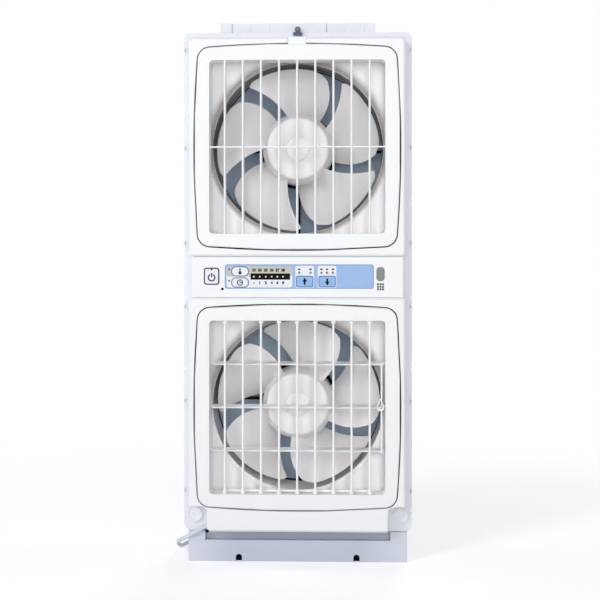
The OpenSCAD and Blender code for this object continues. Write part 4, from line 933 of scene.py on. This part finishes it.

# Dark plates and studs that stand in for the shade inside the holes, the skirt's hole too.
shade_backing = bmesh.new()
rounded_plate(shade_backing, *GRID_MIDDLE, 8.6, 8.6, 1, *BACKING)
for hole in GRID:
    rounded_plate(shade_backing, *hole, 1.78, 1.78, 0.2, *STUD, 1)
rounded_plate(shade_backing, *PIN_HOLE, 5, 5, 1.5, *BACKING)
rounded_plate(shade_backing, *PIN_HOLE, 2.76, 2.76, 1.36, *STUD, 6)
rounded_plate(shade_backing, *SKIRT_HOLE, 4.2, 4.2, 2.05, 1.2, 3.4, 6)
clean(shade_backing)
finish_piece("hole_shade_backings", shade_backing, "casing", PAINT["dark_window"], smooth_angle=40)


def shade_rim_on_hole(shape, middle, across, hole, corner, steps):
    """A thin dark rim round a hole in the strip's face, sunk in its middle: painted shade at the hole's
    edge.
    """
    before = set(shape.faces)
    d = STRIP_D - 0.05
    rounded_plate(shape, *middle, across, across, corner, d, STRIP_D + 0.02, steps)
    level = spot(0, d, 0).y
    front = next(face for face in shape.faces
        if face not in before and abs(face.calc_center_median().y - level) < MERGE_GAP)
    bmesh.ops.inset_individual(shape, faces=[front], thickness=(across - hole) / 2 * MM)
    bmesh.ops.translate(shape, verts=front.verts, vec=(0, 0.06 * MM, 0))


# Dark rims that stand in for the shade at the holes' edges.
shade_rims = bmesh.new()
for hole in GRID:
    shade_rim_on_hole(shade_rims, hole, 2.35, 1.8, 0.2, 1)
shade_rim_on_hole(shade_rims, PIN_HOLE, 3.3, 2.7, 1.6, 6)
clean(shade_rims)
finish_piece("hole_shade_rims", shade_rims, "casing", PAINT["dark_window"])

LEDGE_D = 10.3
LEDGE_GAP = 1e-5
LEDGE_SHADE_T = 0.2
# A black material for strips and sheets that stand in for shade.
shade_black = plastic("shade_black", (0.003, 0.003, 0.004), 0.9, 2600, 0.6, 0.2, shine=0.05)


def ledge_shade(name, panel):
    """A dark strip on the ledge that a grille stands on, cut to the panel's own ledge: painted shade
    deep in the groove round the grille.
    """
    shape = bmesh.new()
    shape.from_mesh(frame["nodes"][panel].data)
    bmesh.ops.remove_doubles(shape, verts=shape.verts, dist=MERGE_GAP)
    level = spot(0, LEDGE_D, 0).y
    off = [face for face in shape.faces
        if face.normal.y > -0.99 or abs(face.calc_center_median().y - level) > LEDGE_GAP]
    bmesh.ops.delete(shape, geom=off, context="FACES")
    pushed(shape, list(shape.faces), -LEDGE_SHADE_T)
    clean(shape)
    finish_piece(name, shape, "casing", shade_black)


# Painted shade deep in the grooves round both grilles.
ledge_shade("upper_ledge_shade", "upper_panel")
ledge_shade("lower_ledge_shade", "lower_panel")

# A dark sheet behind the lower bracket's slots, standing in for the shade seen through them: its middle,
# width, height, corner and depths.
SILL_SHADE_SHEET = (0, 5.6, 252, 9.6, 2, 23.1, 29)
sill_shade_sheet = bmesh.new()
rounded_plate(sill_shade_sheet, *SILL_SHADE_SHEET)
clean(sill_shade_sheet)
finish_piece("sill_shade_sheet", sill_shade_sheet, "casing", shade_black)

# ---------------------------------------------------------------- clips on the flange

FLANGE_D, FLANGE_X = 24, 139
FLANGE_BACK = FLANGE_D + 0.3
CLIP_Z = (623.3, 503.8, 387.9, 310.4, 195.2, 86.0)
# Each part's distance in from the flange's edge, lift, width, height, corner, and how far it
# stands forward of the flange. A clip is two bars and a post.
CLIP_BARS = ((1.9, -3.6, 3.4, 1.9, 0.6, 1.7), (1.9, 3.6, 3.4, 1.9, 0.6, 1.7))
CLIP_POST = (3.2, 0, 0.9, 8, 0.3, 1.1)
# Each clip's grey notch plate is painted shade in the notch.
NOTCH_SHADE = (1.5, 0, 2, 4.6, 0.4, 0.25)


def edge_part(shape, side, z, inward, lift, width, height, corner, forward):
    """A small plate on the flange, near its left or right edge."""
    rounded_plate(shape, side * (FLANGE_X - inward), z + lift, width, height, corner,
        FLANGE_D - forward, FLANGE_BACK, 2)


clips = bmesh.new()
notch_shades = bmesh.new()
for side in (-1, 1):
    for z in CLIP_Z:
        for part in (*CLIP_BARS, CLIP_POST):
            edge_part(clips, side, z, *part)
        edge_part(notch_shades, side, z, *NOTCH_SHADE)
clean(clips)
clean(notch_shades)
finish_piece("flange_clips", clips, "casing", PAINT["casing_white"], smooth_angle=40)
finish_piece("clip_notch_shades", notch_shades, "casing",
    plastic("notch_shade_grey", (0.55, 0.57, 0.61), 0.6, 900, 0.1, 0.05), smooth_angle=40)

# ---------------------------------------------------------------- clamp screw, coil tie

SCREW_Z = 648.0
SCREW_PROFILE = [(0, 18.3), (1.9, 18.5), (2.9, 19.2), (3.15, 20.2), (3.15, 21.6), (3.7, 22.1),
    (3.7, 22.9), (0, 22.9)]
head = bmesh.new()
turned(head, SCREW_PROFILE, (0, SCREW_Z), 40)
clean(head)
finish_piece("clamp_screw_head", head, "clamp_screw",
    plastic("screw_grey", (0.17, 0.18, 0.205), 0.4, 900, 0.05, 0.04, shine=0.3), smooth_angle=35)

STRAP_W, STRAP_T, STRAP_CORNER = 5, 0.5, 4
# Room from the cord's middle line to the strap, beside and above the coil, and its lowest point.
STRAP_BESIDE, STRAP_ABOVE, STRAP_FOOT = 3.4, 3.3, 0.3
strap_black = plastic("strap_black", (0.02, 0.02, 0.022), 0.5, 1800, 0.3)


def coil_tie(name, turn):
    """A soft strap that holds the turns of the coil together."""
    shape = bmesh.new()
    r0, r1 = COIL_OUTER - TURN_STEP * LAYER_TURNS - STRAP_BESIDE, COIL_OUTER + STRAP_BESIDE
    z0, z1 = STRAP_FOOT, CORD_REST + LAYER_H * (COIL_LAYERS - 1) + STRAP_ABOVE
    made = bmesh.ops.create_grid(shape, x_segments=1, y_segments=1, size=0.5)
    for vert in made["verts"]:
        r, z = r0 + (vert.co.x + 0.5) * (r1 - r0), z0 + (vert.co.y + 0.5) * (z1 - z0)
        vert.co = Vector((r * MM, 0, z * MM))
    bmesh.ops.bevel(shape, geom=made["verts"], offset=STRAP_CORNER * MM, offset_type="OFFSET",
        affect="VERTICES", segments=6, profile=0.5, material=-1)
    bmesh.ops.delete(shape, geom=list(shape.faces), context="FACES_ONLY")
    made = bmesh.ops.extrude_edge_only(shape, edges=list(shape.edges))
    bmesh.ops.translate(shape, verts=fresh_verts(made), vec=(0, STRAP_W * MM, 0))
    bmesh.ops.recalc_face_normals(shape, faces=shape.faces)
    bmesh.ops.solidify(shape, geom=list(shape.faces), thickness=STRAP_T * MM)
    bmesh.ops.translate(shape, verts=shape.verts, vec=(0, -STRAP_W / 2 * MM, 0))
    bmesh.ops.rotate(shape, verts=shape.verts, cent=(0, 0, 0),
        matrix=Matrix.Rotation(math.radians(turn), 3, "Z"))
    bmesh.ops.translate(shape, verts=shape.verts, vec=spot(*COIL_MIDDLE, 0))
    clean(shape)
    finish_piece(name, shape, "casing", strap_black, smooth_angle=40)


coil_tie("coil_strap", 35)

# ---------------------------------------------------------------- softened edges

SHARP_ANGLE, FLAT_ANGLE = 38, 1.5
EDGE_WIDTHS = {
    "upper_panel": 0.4, "lower_panel": 0.4, "control_strip": 0.3, "upper_grille": 0.3,
    "lower_grille": 0.3, "housing": 0.5, "fan_ducts": 0.4, "lower_bracket": 0.3,
    "bracket_ends": 0.4, "top_bracket": 0.3,
}


def soften(node, width):
    """Rounds the sharp edges of a CAD node by modifiers, so that they catch the light."""
    weld = node.modifiers.new("weld", "WELD")
    weld.merge_threshold = MERGE_GAP
    flat = node.modifiers.new("flat", "DECIMATE")
    flat.decimate_type = "DISSOLVE"
    flat.angle_limit = math.radians(FLAT_ANGLE)
    round_off = node.modifiers.new("round_off", "BEVEL")
    round_off.width = width * MM
    round_off.segments = 2
    round_off.limit_method = "ANGLE"
    round_off.angle_limit = math.radians(SHARP_ANGLE)
    round_off.use_clamp_overlap = True
    even = node.modifiers.new("even", "WEIGHTED_NORMAL")
    even.keep_sharp = True
    for face in node.data.polygons:
        face.use_smooth = True


for node_name, width in EDGE_WIDTHS.items():
    soften(frame["nodes"][node_name], width)
